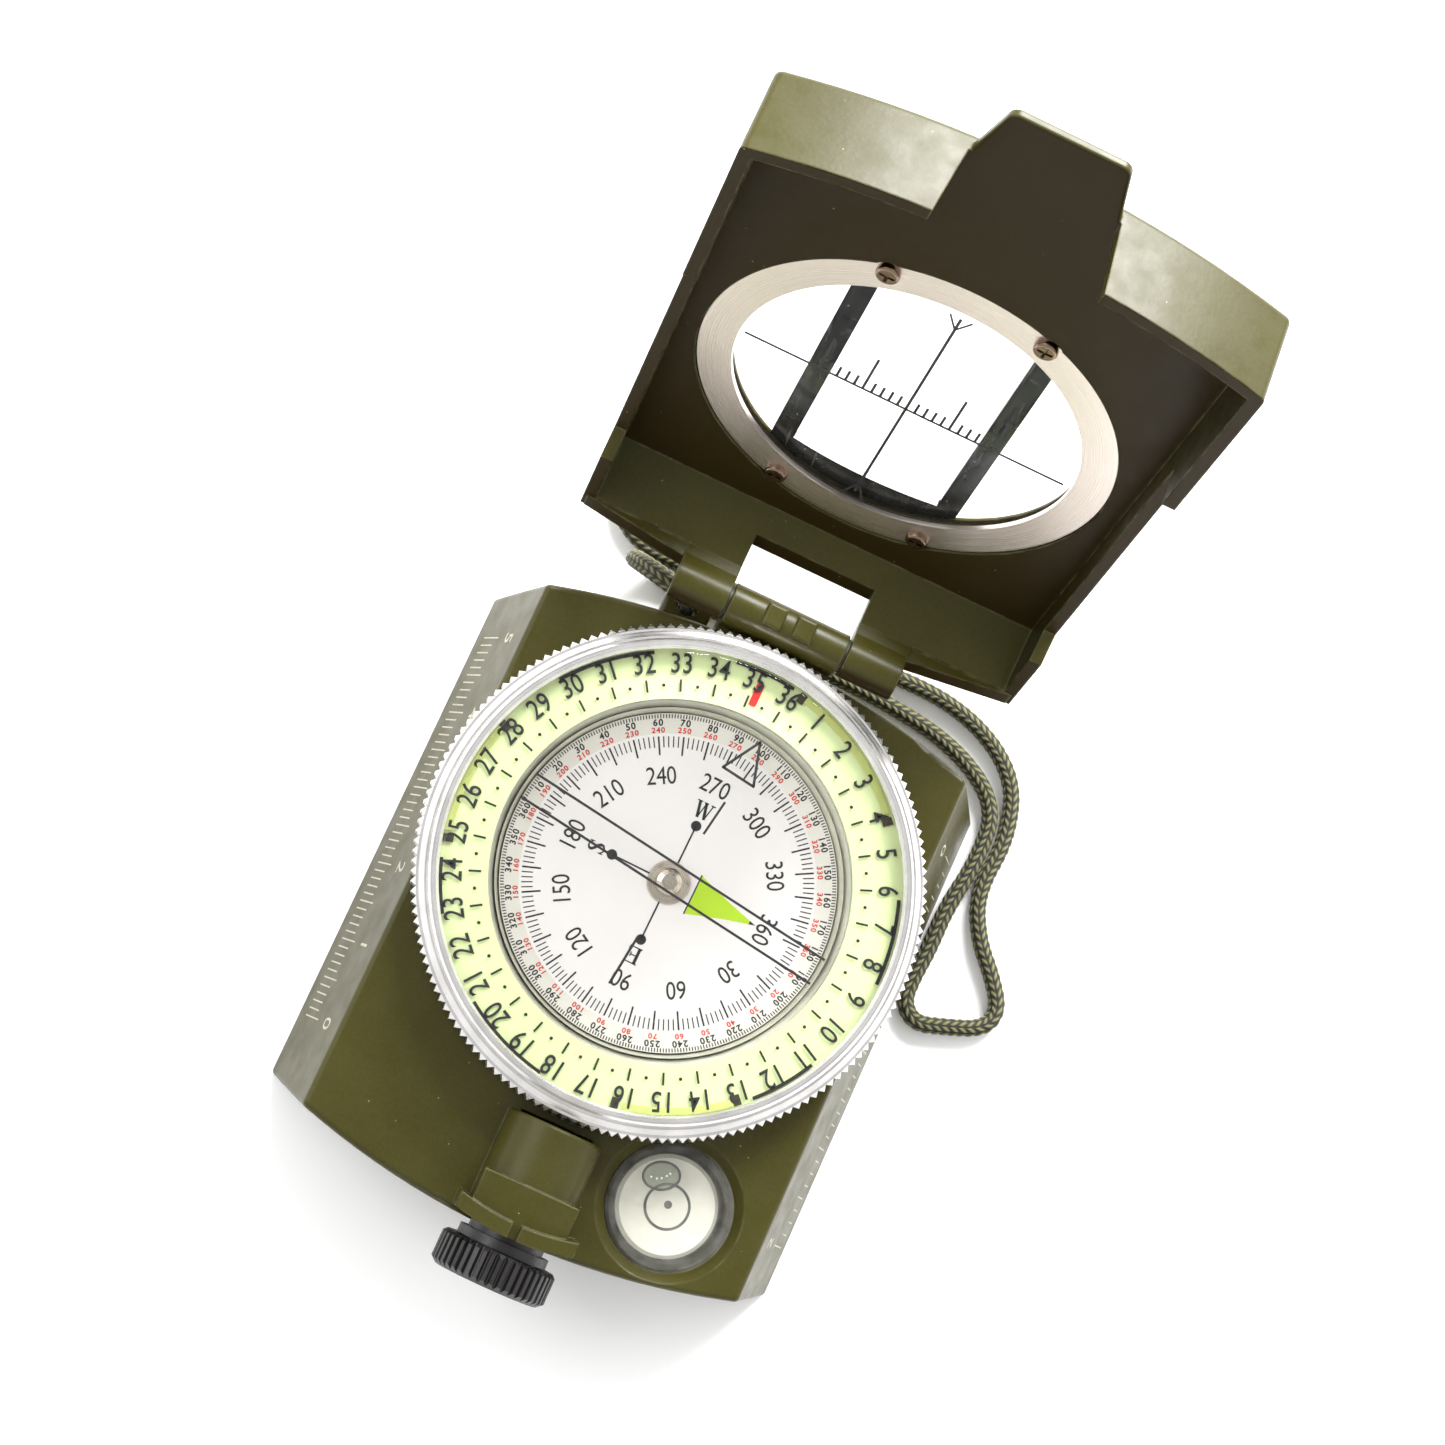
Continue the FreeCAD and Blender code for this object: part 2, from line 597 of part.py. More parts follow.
def eyepiece():
    finish(facing_eye(turned("eyepiece_tube", [
        ("@tube_bore", "32.0"), ("@tube_outer", "32.0"), ("@tube_outer", "45.0"),
        ("@tube_outer + 0.9", "45.0"), ("@tube_outer + 0.9", "@knob_start - 0.15"),
        ("@tube_outer", "@knob_start - 0.15"), ("@tube_outer", "@knob_end - 0.9"),
        ("@tube_bore", "@knob_end - 0.9")])), "eyepiece_tube")
    finish(facing_eye(turned("field_lens", [
        ("0", "33.0"), ("2.0", "33.25"), ("@tube_bore", "33.9"), ("@tube_bore", "34.7"),
        ("0", "34.7")])), "field_lens")
    finish(facing_eye(turned("lens_cell", [
        ("2.6", "42.4"), ("@tube_bore - @fit_gap", "42.4"),
        ("@tube_bore - @fit_gap", "48.2"), ("2.6", "48.2"), ("2.6", "47.6"),
        ("3.1", "47.6"), ("3.1", "45.4"), ("2.6", "45.4")])), "lens_cell")
    finish(facing_eye(turned("eye_lens", [
        ("0", "45.0"), ("1.4", "45.1"), ("2.55", "45.4"), ("3.1", "45.4"), ("3.1", "47.2"),
        ("0", "47.2")])), "eye_lens")
    ribs = ribbed_disc(DIMENSIONS["knob_rad"], DIMENSIONS["knob_ribs"], 0.45,
                       DIMENSIONS["knob_end"] - DIMENSIONS["knob_start"], 0.45)
    ribs.Placement = FreeCAD.Placement(VECTOR(0, 0, DIMENSIONS["knob_start"]),
                                       FreeCAD.Rotation())
    bevel = turned("knob_bevel", [
        ("0", "@knob_start"), ("@knob_rad - 0.4", "@knob_start"),
        ("@knob_rad + 0.1", "@knob_start + 0.5"), ("@knob_rad + 0.1", "@knob_end - 0.7"),
        ("@knob_rad - 0.7", "@knob_end"), ("0", "@knob_end")])
    bore = turned("knob_bore", [
        ("0", "@knob_start - 1"), ("@tube_outer + @fit_gap", "@knob_start - 1"),
        ("@tube_outer + @fit_gap", "@knob_end - 0.8"), ("3.3", "@knob_end - 0.8"),
        ("4.0", "@knob_end + 0.1"), ("0", "@knob_end + 0.1")])
    finish(facing_eye(cut(common(ribs, bevel), bore)), "focus_ring")
    corners = [("-24.9", "@prism_foot"), ("-30.0", "@prism_foot"), ("-30.0", "@prism_foot + 5.1")]
    finish(prism("YZ_Plane", corners, "7.6", both_ways=True), "reading_prism")


# ---------------------------------------------------------------- level
def level():
    def seated(piece):
        return put(piece, "@level_x", "-@level_y", "0")
    top = "@case_height + @level_proud"
    finish(seated(turned("level_vial", [
        ("0", "@level_floor + 2.2"), ("6.1", "@level_floor + 2.2"), ("6.1", "@level_floor"),
        ("@level_rad", "@level_floor"), ("@level_rad", top + " - 0.4"),
        ("@level_rad - 0.4", top), ("@level_rad - 1.1", top), ("@level_rad - 1.5", top + " - 0.35"),
        ("0", top + " - 0.35")])), "level_vial")
    finish(seated(turned("level_target", [
        ("0", "@level_floor"), ("6.05", "@level_floor"), ("6.05", "@level_floor + 1.6"),
        ("5.6", "@level_floor + 2.15"), ("0", "@level_floor + 2.15")])), "level_target")


# ---------------------------------------------------------------- cover
def lid_shell():
    outer = prism("YZ_Plane", [
        ("-60", "@skirt_deep"), ("-@skirt_step", "@skirt_deep"),
        ("-@skirt_step", "@skirt_shallow"), ("20.5", "@skirt_shallow"), ("22.5", "23.2"),
        ("33.3", "23.2"), ("29.2", "@lid_top"), ("-60", "@lid_top")],
        "2 * @lid_half", both_ways=True)
    outer = common(outer, cylinder("@end_arc", "60", "0", "@end_arc - @lid_front", "0"))
    top, half = DIMENSIONS["lid_top"], DIMENSIONS["lid_half"]

    def soft_edge(middle, edge):
        front = middle.y < -38.0 and edge.BoundBox.ZLength > 9.0
        side = abs(abs(middle.x) - half) < 0.01 and middle.z > top - 0.01
        arc = middle.y < -38.0 and middle.z > top - 0.01
        back = middle.y > 29.0 and abs(middle.z - top) < 0.01
        return front or side or arc or back
    outer = rounded(outer, 0.9, soft_edge)
    inner = prism("YZ_Plane", [
        ("-60", "15"), ("34.0", "15"), ("31.6", "22"), ("27.6", "@lid_inner"),
        ("-60", "@lid_inner")], "2 * @lid_half - 2 * @skirt_thick", both_ways=True)
    inner = common(inner, cylinder("@end_arc - @skirt_thick", "60", "0",
                                   "@end_arc - @lid_front", "0"))
    front_cut = prism("XZ_Plane", [
        ("-@cut_half - 0.1", "@skirt_deep - 1"), ("@cut_half + 0.1", "@skirt_deep - 1"),
        ("@tab_root + 0.2", "@lid_inner"), ("-@tab_root - 0.2", "@lid_inner")],
        "12", offset="38")
    tab = prism("XY_Plane", [
        ("-@tab_root", "-40"), ("-@tab_root", "-@lid_front + 0.3"), ("-@tab_tip", "-@tab_end"),
        ("@tab_tip", "-@tab_end"), ("@tab_root", "-@lid_front + 0.3"), ("@tab_root", "-40")],
        "@tab_thick", offset="@lid_inner")
    tab = rounded(tab, 1.2, lambda middle, edge:
                  middle.y < -50 and edge.BoundBox.ZLength > 1)
    tab = rounded(tab, 0.3, lambda middle, edge:
                  middle.y < -46 and edge.BoundBox.ZLength < 0.01)
    screw_seats = [cylinder("1.75", "@ring_face + @ring_thick - 28", x, y, "28")
                   for x in ("-@window_screw_x", "@window_screw_x")
                   for y in ("-@window_screw_y", "@window_screw_y")]
    screw_holes = [cylinder("0.7", "1.2", x, y, "@ring_face")
                   for x in ("-@window_screw_x", "@window_screw_x")
                   for y in ("-@window_screw_y", "@window_screw_y")]
    shell = cut(
        fuse(cut(outer, inner, front_cut), tab),
        cylinder("@window_hole", "20", z="20"),
        cylinder("@ring_outer + 0.1", "@ring_face + @ring_thick - 28", z="28"),
        cylinder("@glass_rad", "@ring_face + @ring_thick + @glass_thick - 28", z="28"),
        box("2 * @barrel_half + 2 * @knuckle_gap", "20", "12",
            "-@barrel_half - @knuckle_gap", "24", "15"),
        *screw_seats, *screw_holes)
    knuckles = []
    for side in (-1, 1):
        start = "@barrel_half + @knuckle_gap"
        low = start if side > 0 else "-@knuckle_end"
        length = "@knuckle_end - @barrel_half - @knuckle_gap"
        web = prism("YZ_Plane", [
            ("31.05", "23.4"), ("33.25", "23.4"), ("35.15", "19.8"), ("@hinge_y", "@hinge_z"),
            ("30.35", "20.0"), ("30.9", "21.6")], length, offset=low)
        flank = prism("XZ_Plane", [
            ("%d * (%s)" % (side, start), "21.0"), ("%d * @knuckle_end" % side, "21.2"),
            ("%d * (@lid_half - 0.5)" % side, "23.1"), ("%d * (@lid_half - 0.5)" % side, "24"),
            ("%d * (%s)" % (side, start), "24")], "2.1", offset="-33.3")
        roll = along_x("@barrel_rad", low, length, "@hinge_y", "@hinge_z")
        knuckles.append(cut(fuse(web, flank, roll),
                            along_x("@pin_rad + @fit_gap", "-20", "40", "@hinge_y",
                                    "@hinge_z")))
    return finish(open_on_hinge(fuse(shell, *knuckles)), "lid_shell")


def window():
    back = "@ring_face + @ring_thick"
    ring = turned("ring_blank", [
        ("@ring_inner", "@ring_face"), ("@ring_outer", "@ring_face"), ("@ring_outer", back),
        ("@ring_inner", back)])
    places = [(x, y) for x in ("-@window_screw_x", "@window_screw_x")
              for y in ("-@window_screw_y", "@window_screw_y")]
    holes = [cylinder("0.75", "4", x, y, "@ring_face - 1") for x, y in places]
    finish(open_on_hinge(cut(ring, *holes)), "window_ring")
    finish(open_on_hinge(turned("window_glass", [
        ("0", back), ("@glass_rad - 0.1", back), ("@glass_rad - 0.1", back + " + @glass_thick"),
        ("0", back + " + @glass_thick")])), "window_glass")
    screws = []
    for x, y in places:
        head = rounded(cylinder("1.35", "0.75", x, y, "@ring_face - 0.75"), 0.35,
                       lambda middle, edge: middle.z < 30.0)
        bar = box("1.7", "0.34", "0.4", x + " - 0.85", y + " - 0.17", "@ring_face - 0.8")
        post = box("0.34", "1.7", "0.4", x + " - 0.17", y + " - 0.85", "@ring_face - 0.8")
        shank = cylinder("0.65", "1.1", x, y, "@ring_face - 0.1")
        screws.append(cut(fuse(head, shank), bar, post))
    group = doc.addObject("Part::Compound", "WindowScrews")
    group.Links = screws
    finish(open_on_hinge(group), "window_screws")
    low = back + " + @glass_thick"
    bars = box("2 * @sight_bar_out", "60", "1.0", "-@sight_bar_out", "-30", low)
    frame = common(bars, cylinder("@window_hole - 0.05", "1.0", z=low))
    opening = common(box("2 * @sight_bar_in", "60", "3", "-@sight_bar_in", "-30", low + " - 1"),
                     cylinder("45", "3", "0", "@sight_band - 45", low + " - 1"))
    finish(open_on_hinge(cut(frame, opening)), "sight_frame")


def hinge_hardware():
    finish(along_x("@pin_rad", "-@knuckle_end + 0.2", "2 * @knuckle_end - 0.4", "@hinge_y",
                   "@hinge_z"), "hinge_pin")
    washers = []
    for start in ("-@barrel_half - @knuckle_gap + 0.05", "@barrel_half + 0.05"):
        washers.append(cut(along_x("2.1", start, "@knuckle_gap - 0.1", "@hinge_y", "@hinge_z"),
                           along_x("@pin_rad", "-20", "40", "@hinge_y", "@hinge_z")))
    group = doc.addObject("Part::Compound", "Washers")
    group.Links = washers
    finish(group, "hinge_washers")


# ---------------------------------------------------------------- lanyard
def cord_path(points):
    """Straight runs joined by tangent arcs, each as large as its two runs allow."""
    edges = []
    radii = []
    last = points[0]
    for before, corner, after in zip(points, points[1:], points[2:]):
        back = before - corner
        ahead = after - corner
        turn = math.pi - back.getAngle(ahead)
        reach = 0.45 * min(back.Length, ahead.Length)
        radii.append(reach / math.tan(turn / 2))
        back.normalize()
        ahead.normalize()
        start = corner + back * reach
        end = corner + ahead * reach
        middle_way = back + ahead
        middle_way.normalize()
        bow = radii[-1] / math.cos(turn / 2) - radii[-1]
        edges.append(Part.LineSegment(last, start).toShape())
        edges.append(Part.Arc(start, corner + middle_way * bow, end).toShape())
        last = end
    edges.append(Part.LineSegment(last, points[-1]).toShape())
    return Part.Wire(edges), radii


def lanyard():
    radius = DIMENSIONS["cord_rad"]
    points = [VECTOR(*point) for point in CORD_ROUTE]
    path, radii = cord_path(points)
    direction = points[1] - points[0]
    ring = Part.Wire([Part.makeCircle(radius, points[0], direction)])
    tube = path.makePipeShell([ring], True, True)
    expected = math.pi * radius ** 2 * path.Length
    print("cord length %.1f mm, tube volume %.1f against %.1f mm3"
          % (path.Length, tube.Volume, expected))
    print("cord bend radii, mm: " + " ".join("%.1f" % bend for bend in radii))
    cord = doc.addObject("Part::Feature", "Cord")
    cord.Shape = tube
    finish(cord, "lanyard_cord")
    finish(put(turned("stopper_knot", [
        ("0", "0"), ("1.0", "0"), ("1.8", "0.7"), ("2.0", "1.5"), ("1.7", "2.3"),
        ("1.1", "2.9"), ("0", "2.9")]), "-@lug_x", "@lug_y", "@lug_low - 3.1"),
        "lanyard_stopper")
    end = points[-1]
    heading = math.degrees(math.atan2(end.y - points[-2].y, end.x - points[-2].x))
    knot = turned("end_knot", [
        ("0", "0"), ("1.2", "0"), ("2.2", "0.9"), ("2.5", "2.4"), ("2.3", "4.0"),
        ("1.3", "5.2"), ("0", "5.2")])
    knot.Placement = FreeCAD.Placement(
        VECTOR(end.x, end.y, end.z),
        FreeCAD.Rotation(Z_AXIS, heading) * FreeCAD.Rotation(Y_AXIS, 90))
    finish(knot, "lanyard_knot")


body_housing()
base_plate()
base_screws()
tripod_insert()
capsule()
pivot()
card()
bezel()
eyepiece()
level()
lid_shell()
window()
hinge_hardware()
lanyard()

doc.recompute()
for item in doc.Objects:
    if "Invalid" in item.State or "Error" in item.State:
        raise RuntimeError("%s (%s) failed: %s" % (item.Name, item.Label, item.State))
os.makedirs("parts", exist_ok=True)
for piece in PARTS:
    shape = piece.Shape
    if shape.isNull() or not shape.isValid() or shape.Volume <= 0:
        raise RuntimeError("%s has no valid shape" % piece.Label)
    box_of = shape.optimalBoundingBox()
    print("%-18s %2d solid(s) %9.1f mm3  x %6.1f %6.1f  y %6.1f %6.1f  z %6.1f %6.1f" % (
        piece.Label, len(shape.Solids), shape.Volume, box_of.XMin, box_of.XMax, box_of.YMin,
        box_of.YMax, box_of.ZMin, box_of.ZMax))
for piece in PARTS:
    piece.Shape.exportStep(os.path.join("parts", piece.Label + ".step"))
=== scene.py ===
import functools
import math

import bmesh
import bpy
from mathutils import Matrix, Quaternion, Vector


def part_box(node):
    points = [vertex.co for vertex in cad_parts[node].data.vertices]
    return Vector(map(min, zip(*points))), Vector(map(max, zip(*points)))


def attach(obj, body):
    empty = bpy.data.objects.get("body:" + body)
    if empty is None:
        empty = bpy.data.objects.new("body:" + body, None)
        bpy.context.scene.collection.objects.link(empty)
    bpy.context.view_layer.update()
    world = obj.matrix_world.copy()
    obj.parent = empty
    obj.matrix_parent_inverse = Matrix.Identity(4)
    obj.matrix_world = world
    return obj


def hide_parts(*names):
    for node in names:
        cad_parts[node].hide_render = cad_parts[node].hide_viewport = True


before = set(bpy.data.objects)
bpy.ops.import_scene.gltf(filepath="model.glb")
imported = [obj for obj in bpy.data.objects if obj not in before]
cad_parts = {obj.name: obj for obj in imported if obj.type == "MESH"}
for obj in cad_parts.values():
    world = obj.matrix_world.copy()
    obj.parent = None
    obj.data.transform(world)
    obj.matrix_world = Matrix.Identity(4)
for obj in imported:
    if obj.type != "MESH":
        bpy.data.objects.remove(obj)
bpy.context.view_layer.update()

MM = 0.001
INCH = 25.4
UP = Vector((0, 0, 1))

# heights and radii shared with the CAD pieces, read off their boxes
HOUSING_HALF = (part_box("body_housing")[1] / MM).x
CRYSTAL_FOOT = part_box("bezel_crystal")[0].z / MM
CARD_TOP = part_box("dial_card")[1].z / MM
CARD_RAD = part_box("dial_card")[1].x / MM
RIM_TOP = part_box("dial_rim")[1].z / MM
RIM_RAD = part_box("dial_rim")[1].x / MM
INDEX_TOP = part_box("index_mark")[1].z / MM
TARGET_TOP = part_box("level_target")[1].z / MM
LEVEL = (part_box("level_target")[0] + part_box("level_target")[1]) / 2 / MM

BEZEL_TURN = 8.0           # how far the bezel's 36 stands clockwise of the hinge, degrees
NORTH_TURN = 91.5          # how far the card's north stands clockwise of the hinge, degrees
INK_THICK = 0.03           # of a print, where nothing else is said
FOOT_WIDTH, TOP_WIDTH, CASE_HEIGHT = 65.0, 54.7, 16.0
WALL_LEAN = math.atan2(FOOT_WIDTH - TOP_WIDTH, 2 * CASE_HEIGHT)   # of the case's side walls
HINGE = (32.7, 19.1)       # the cover's axis, y and z
LID_OPEN = 110.0           # how far the cover stands open at rest, degrees
RETICLE_Z = 31.28          # underside of the window glass, on the shut cover
GAP_COVER_DROP = 1.2           # the pale band painted over the shaded gap round the card's rim starts so far below the rim's top: painted light
GAP_COVER_SLOPE = 3.6          # and rises so much for each millimetre outwards

MID_NOISE = (0.3, 0.7)     # most values of a noise texture lie between these
MIX_SHARE, MIX_FIRST, MIX_SECOND, MIX_RESULT = 0, 6, 7, 2   # the Mix node's colour sockets

CORD_RAD = 1.1
# control points of the cord's centre line, from the lug under the hinge to the end knot
CORD_ROUTE = [
    (-11.2, 31.7, 9.4),
    (-11.2, 31.7, 12.7),
    (-12.8, 32.1, 14.7),
    (-15.6, 32.8, 14.5),
    (-18.1, 33.8, 11.8),
    (-19.6, 34.9, 7.6),
    (-18.7, 35.8, 3.4),
    (-14.7, 35.6, 1.4),
    (-7.6, 34.4, 1.2),
    (3.5, 33.5, 1.2),
    (15.5, 33.4, 1.2),
    (26.5, 32.0, 1.2),
    (34.4, 27.4, 1.2),
    (34.9, 20.0, 1.2),
    (33.7, 13.2, 1.2),
    (33.8, 7.6, 1.2),
    (33.4, 3.8, 1.2),
    (33.5, 0.4, 1.2),
    (35.8, -1.4, 1.2),
    (39.2, -0.3, 1.2),
    (43.9, 1.5, 1.2),
    (44.8, 4.4, 1.2),
    (42.4, 7.8, 1.2),
    (38.9, 11.4, 1.2),
    (36.4, 16.6, 1.2),
    (37.3, 24.8, 1.2),
    (34.4, 32.4, 1.2),
    (25.0, 36.9, 1.2),
    (12.0, 36.6, 1.2),
    (-1.0, 37.4, 1.2),
    (-12.0, 38.0, 1.2),
    (-19.4, 37.9, 1.2),
    (-24.0, 41.1, 1.2),
    (-24.2, 46.3, 1.2),
    (-20.2, 49.6, 1.2),
    (-11.0, 49.4, 1.2),
    (0.0, 48.4, 1.2),
    (8.4, 48.7, 1.4),
    (14.0, 48.9, 2.6),
    (18.6, 49.2, 2.6),
]


# ---------------------------------------------------------------- materials
class Finish:
    """A procedural material: a Principled shader and what feeds it, in object space."""

    def __init__(self, name, colour, rough, metal=0.0, fixed=None):
        self.material = bpy.data.materials.new(name)
        self.material.use_nodes = True
        self.tree = self.material.node_tree
        self.shader = self.tree.nodes["Principled BSDF"]
        coordinates = self.add("ShaderNodeTexCoord")
        self.place = coordinates.outputs["Object"]
        self.way = coordinates.outputs["Normal"]
        self.shader.inputs["Base Color"].default_value = colour
        self.shader.inputs["Roughness"].default_value = rough
        self.shader.inputs["Metallic"].default_value = metal
        for socket, value in (fixed or {}).items():
            self.shader.inputs[socket].default_value = value
        self.normal = None

    def add(self, kind):
        return self.tree.nodes.new(kind)

    def feed(self, socket, value):
        """Link a node's output to a socket, or set the socket to a constant."""
        if isinstance(value, bpy.types.NodeSocket):
            self.tree.links.new(value, socket)
        else:
            socket.default_value = value

    def stretched(self, scale, centre=(0, 0, 0), turn=(0, 0, 0)):
        """Object coordinates moved, turned and scaled, to lengthen a grain one way."""
        node = self.add("ShaderNodeMapping")
        node.vector_type = "TEXTURE"
        node.inputs["Location"].default_value = [value * MM for value in centre]
        node.inputs["Rotation"].default_value = [math.radians(value) for value in turn]
        node.inputs["Scale"].default_value = scale
        self.feed(node.inputs["Vector"], self.place)
        return node.outputs["Vector"]

    def noise(self, grain, detail=2.0, place=None):
        """Noise from 0 to 1 whose features are about so many millimetres across."""
        node = self.add("ShaderNodeTexNoise")
        node.inputs["Scale"].default_value = 1 / (grain * MM)
        node.inputs["Detail"].default_value = detail
        self.feed(node.inputs["Vector"], place or self.place)
        return node.outputs["Fac"]

    def turning(self, pitch, place=None):
        """Noise in rings round the local Z axis, as a lathe leaves it."""
        flat = self.add("ShaderNodeVectorMath")
        flat.operation = "MULTIPLY"
        flat.inputs[1].default_value = (1, 1, 0)
        self.feed(flat.inputs[0], place or self.place)
        reach = self.add("ShaderNodeVectorMath")
        reach.operation = "LENGTH"
        self.feed(reach.inputs[0], flat.outputs["Vector"])
        node = self.add("ShaderNodeTexNoise")
        node.noise_dimensions = "1D"
        node.inputs["Scale"].default_value = 1 / (pitch * MM)
        node.inputs["Detail"].default_value = 3
        self.feed(node.inputs["W"], reach.outputs["Value"])
        return node.outputs["Fac"]

    def specks(self, spacing, size):
        """Small round spots: 1 inside a spot, 0 outside, only some cells having one."""
        cells = self.add("ShaderNodeTexVoronoi")
        cells.inputs["Scale"].default_value = 1 / (spacing * MM)
        self.feed(cells.inputs["Vector"], self.place)
        spot = self.remap(cells.outputs["Distance"], size, size * 0.6)
        empty = 0.72
        chosen = self.add("ShaderNodeSeparateColor")
        self.feed(chosen.inputs["Color"], cells.outputs["Color"])
        return self.times(spot, self.remap(chosen.outputs["Red"], empty, empty + 0.02))

    def times(self, first, second):
        """The product of two values."""
        node = self.add("ShaderNodeMath")
        node.operation = "MULTIPLY"
        self.feed(node.inputs[0], first)
        self.feed(node.inputs[1], second)
        return node.outputs["Value"]

    def dot(self, first, second):
        """How far two directions agree: 1 along each other, 0 at right angles."""
        node = self.add("ShaderNodeVectorMath")
        node.operation = "DOT_PRODUCT"
        self.feed(node.inputs[0], first)
        self.feed(node.inputs[1], second)
        return node.outputs["Value"]

    def remap(self, source, low, high, start=0.0, end=1.0):
        """A value taken from the range low to high to the range start to end."""
        node = self.add("ShaderNodeMapRange")
        self.feed(node.inputs["Value"], source)
        for name, value in zip(("From Min", "From Max", "To Min", "To Max"),
                               (low, high, start, end)):
            node.inputs[name].default_value = value
        return node.outputs["Result"]

    def blend(self, share, first, second):
        """The first colour where the share is 0, the second where it is 1."""
        node = self.add("ShaderNodeMix")
        node.data_type = "RGBA"
        self.feed(node.inputs[MIX_SHARE], share)
        self.feed(node.inputs[MIX_FIRST], first)
        self.feed(node.inputs[MIX_SECOND], second)
        return node.outputs[MIX_RESULT]

    def rounded(self, radius, samples):
        """The surface's normal with sharp edges rounded to a small radius."""
        bevel = self.add("ShaderNodeBevel")
        bevel.samples = samples
        bevel.inputs["Radius"].default_value = radius * MM
        return bevel.outputs["Normal"]

    def soft_edges(self, radius):
        """Shade sharp edges as if they were rounded to a small radius."""
        self.normal = self.rounded(radius, 6)

    def worn_edges(self, radius):
        """1 on edges sharper than the radius, 0 on flats."""
        flat = self.add("ShaderNodeNewGeometry").outputs["Normal"]
        return self.remap(self.dot(self.rounded(radius, 4), flat), 0.98, 0.85)

    def facing(self, direction):
        """1 on faces turned towards a direction of the part's frame, 0 on the others."""
        return self.remap(self.dot(self.way, direction), 0.80, 0.95)

    def looking_in(self):
        """1 on faces that look back to the part's middle plane, 0 on the others."""
        place, way = self.add("ShaderNodeSeparateXYZ"), self.add("ShaderNodeSeparateXYZ")
        self.feed(place.inputs[0], self.place)
        self.feed(way.inputs[0], self.way)
        product = self.times(place.outputs["X"], way.outputs["X"])
        return self.remap(product, -0.012, -0.022)

    def bump(self, height, depth):
        """Relief of a depth in millimetres, on top of any earlier relief."""
        node = self.add("ShaderNodeBump")
        node.inputs["Distance"].default_value = depth * MM
        self.feed(node.inputs["Height"], height)
        if self.normal is not None:
            self.feed(node.inputs["Normal"], self.normal)
        self.normal = node.outputs["Normal"]
        self.feed(self.shader.inputs["Normal"], self.normal)

    def colour(self, value):
        """Take the base colour from a node's output."""
        self.feed(self.shader.inputs["Base Color"], value)

    def rough(self, source, low, high):
        """Let the roughness follow a noise, between two values."""
        self.feed(self.shader.inputs["Roughness"], self.remap(source, *MID_NOISE, low, high))

    def surface(self, share, first, second):
        """End in a mix of two shaders: the first where the share is 0."""
        mix = self.add("ShaderNodeMixShader")
        self.feed(mix.inputs[0], share)
        self.feed(mix.inputs[1], first.outputs[0])
        self.feed(mix.inputs[2], second.outputs[0])
        self.feed(self.tree.nodes["Material Output"].inputs["Surface"], mix.outputs[0])
        return self.material


def olive_paint(name, inside=None):
    """Satin paint on a casting: faint mottling, orange peel, dust, and rubbed edges with a
    painted edge highlight. Faces turned the inside way, and faces looking back to the part's
    middle plane, are painted darker and browner with less shine: painted shade."""
    edge, shine, inner_shade_shine = 0.35, 0.26, 0.10
    paint = Finish(name, (0.040, 0.035, 0.004, 1), 0.34, fixed={"Specular IOR Level": shine})
    paint.soft_edges(edge)
    body = paint.blend(paint.remap(paint.noise(11, 3), 0.35, 0.65),
                       (0.037, 0.0325, 0.0030, 1), (0.043, 0.0385, 0.0045, 1))
    dusty = paint.remap(paint.noise(0.35, 4), *MID_NOISE, 0.0, 0.22)
    body = paint.blend(dusty, body, (0.072, 0.065, 0.014, 1))
    if inside:
        # painted shade: faces turned the inside way and faces looking back to the middle plane
        # are painted darker and browner, with less shine
        inner_shade = paint.facing(inside)
        body = paint.blend(paint.looking_in(), body, (0.018, 0.016, 0.003, 1))
        body = paint.blend(inner_shade, body, (0.0215, 0.0135, 0.0028, 1))
        paint.feed(paint.shader.inputs["Specular IOR Level"],
                   paint.remap(inner_shade, 0.0, 1.0, shine, inner_shade_shine))
    # lighter edges: partly rubbed paint, partly a painted highlight along the edges
    wear_and_highlight = paint.times(paint.worn_edges(edge), paint.remap(paint.noise(2.5, 4), 0.42, 0.62))
    body = paint.blend(paint.times(wear_and_highlight, 0.5), body, (0.19, 0.18, 0.085, 1))
    body = paint.blend(paint.times(paint.specks(1.7, 0.06), 0.6), body, (0.36, 0.34, 0.24, 1))
    paint.colour(body)
    paint.rough(paint.noise(3.0, 3), 0.30, 0.42)
    paint.bump(paint.noise(0.55, 3), 0.010)
    paint.bump(paint.noise(5.0, 2), 0.020)
    return paint.material


def metal(name, colour, rough, grain=0.12):
    """Machined metal with turning marks round the dial's axis and a few stains."""
    made = Finish(name, colour, rough, 1.0)
    marks = made.turning(grain)
    darker = tuple(value * 0.80 for value in colour[:3]) + (1.0,)
    made.colour(made.blend(made.remap(made.noise(4.0, 4), 0.35, 0.7), colour, darker))
    made.rough(marks, rough * 0.75, rough * 1.3)
    made.bump(marks, 0.004)
    made.bump(made.noise(0.2, 3), 0.003)
    return made.material


def brushed(name, colour, rough):
    """The window's ring: circular brushing about its own centre on the open cover."""
    made = Finish(name, colour, rough, 1.0)
    centre = on_lid(0, 0, RETICLE_Z)
    place = made.stretched((1, 1, 1), centre, (-LID_OPEN, 0, 0))
    marks = made.turning(0.07, place)
    darker = tuple(value * 0.62 for value in colour[:3]) + (1.0,)
    made.colour(made.blend(made.remap(marks, 0.3, 0.75), colour, darker))
    made.rough(marks, rough * 0.8, rough * 1.25)
    made.bump(marks, 0.006)
    return made.material


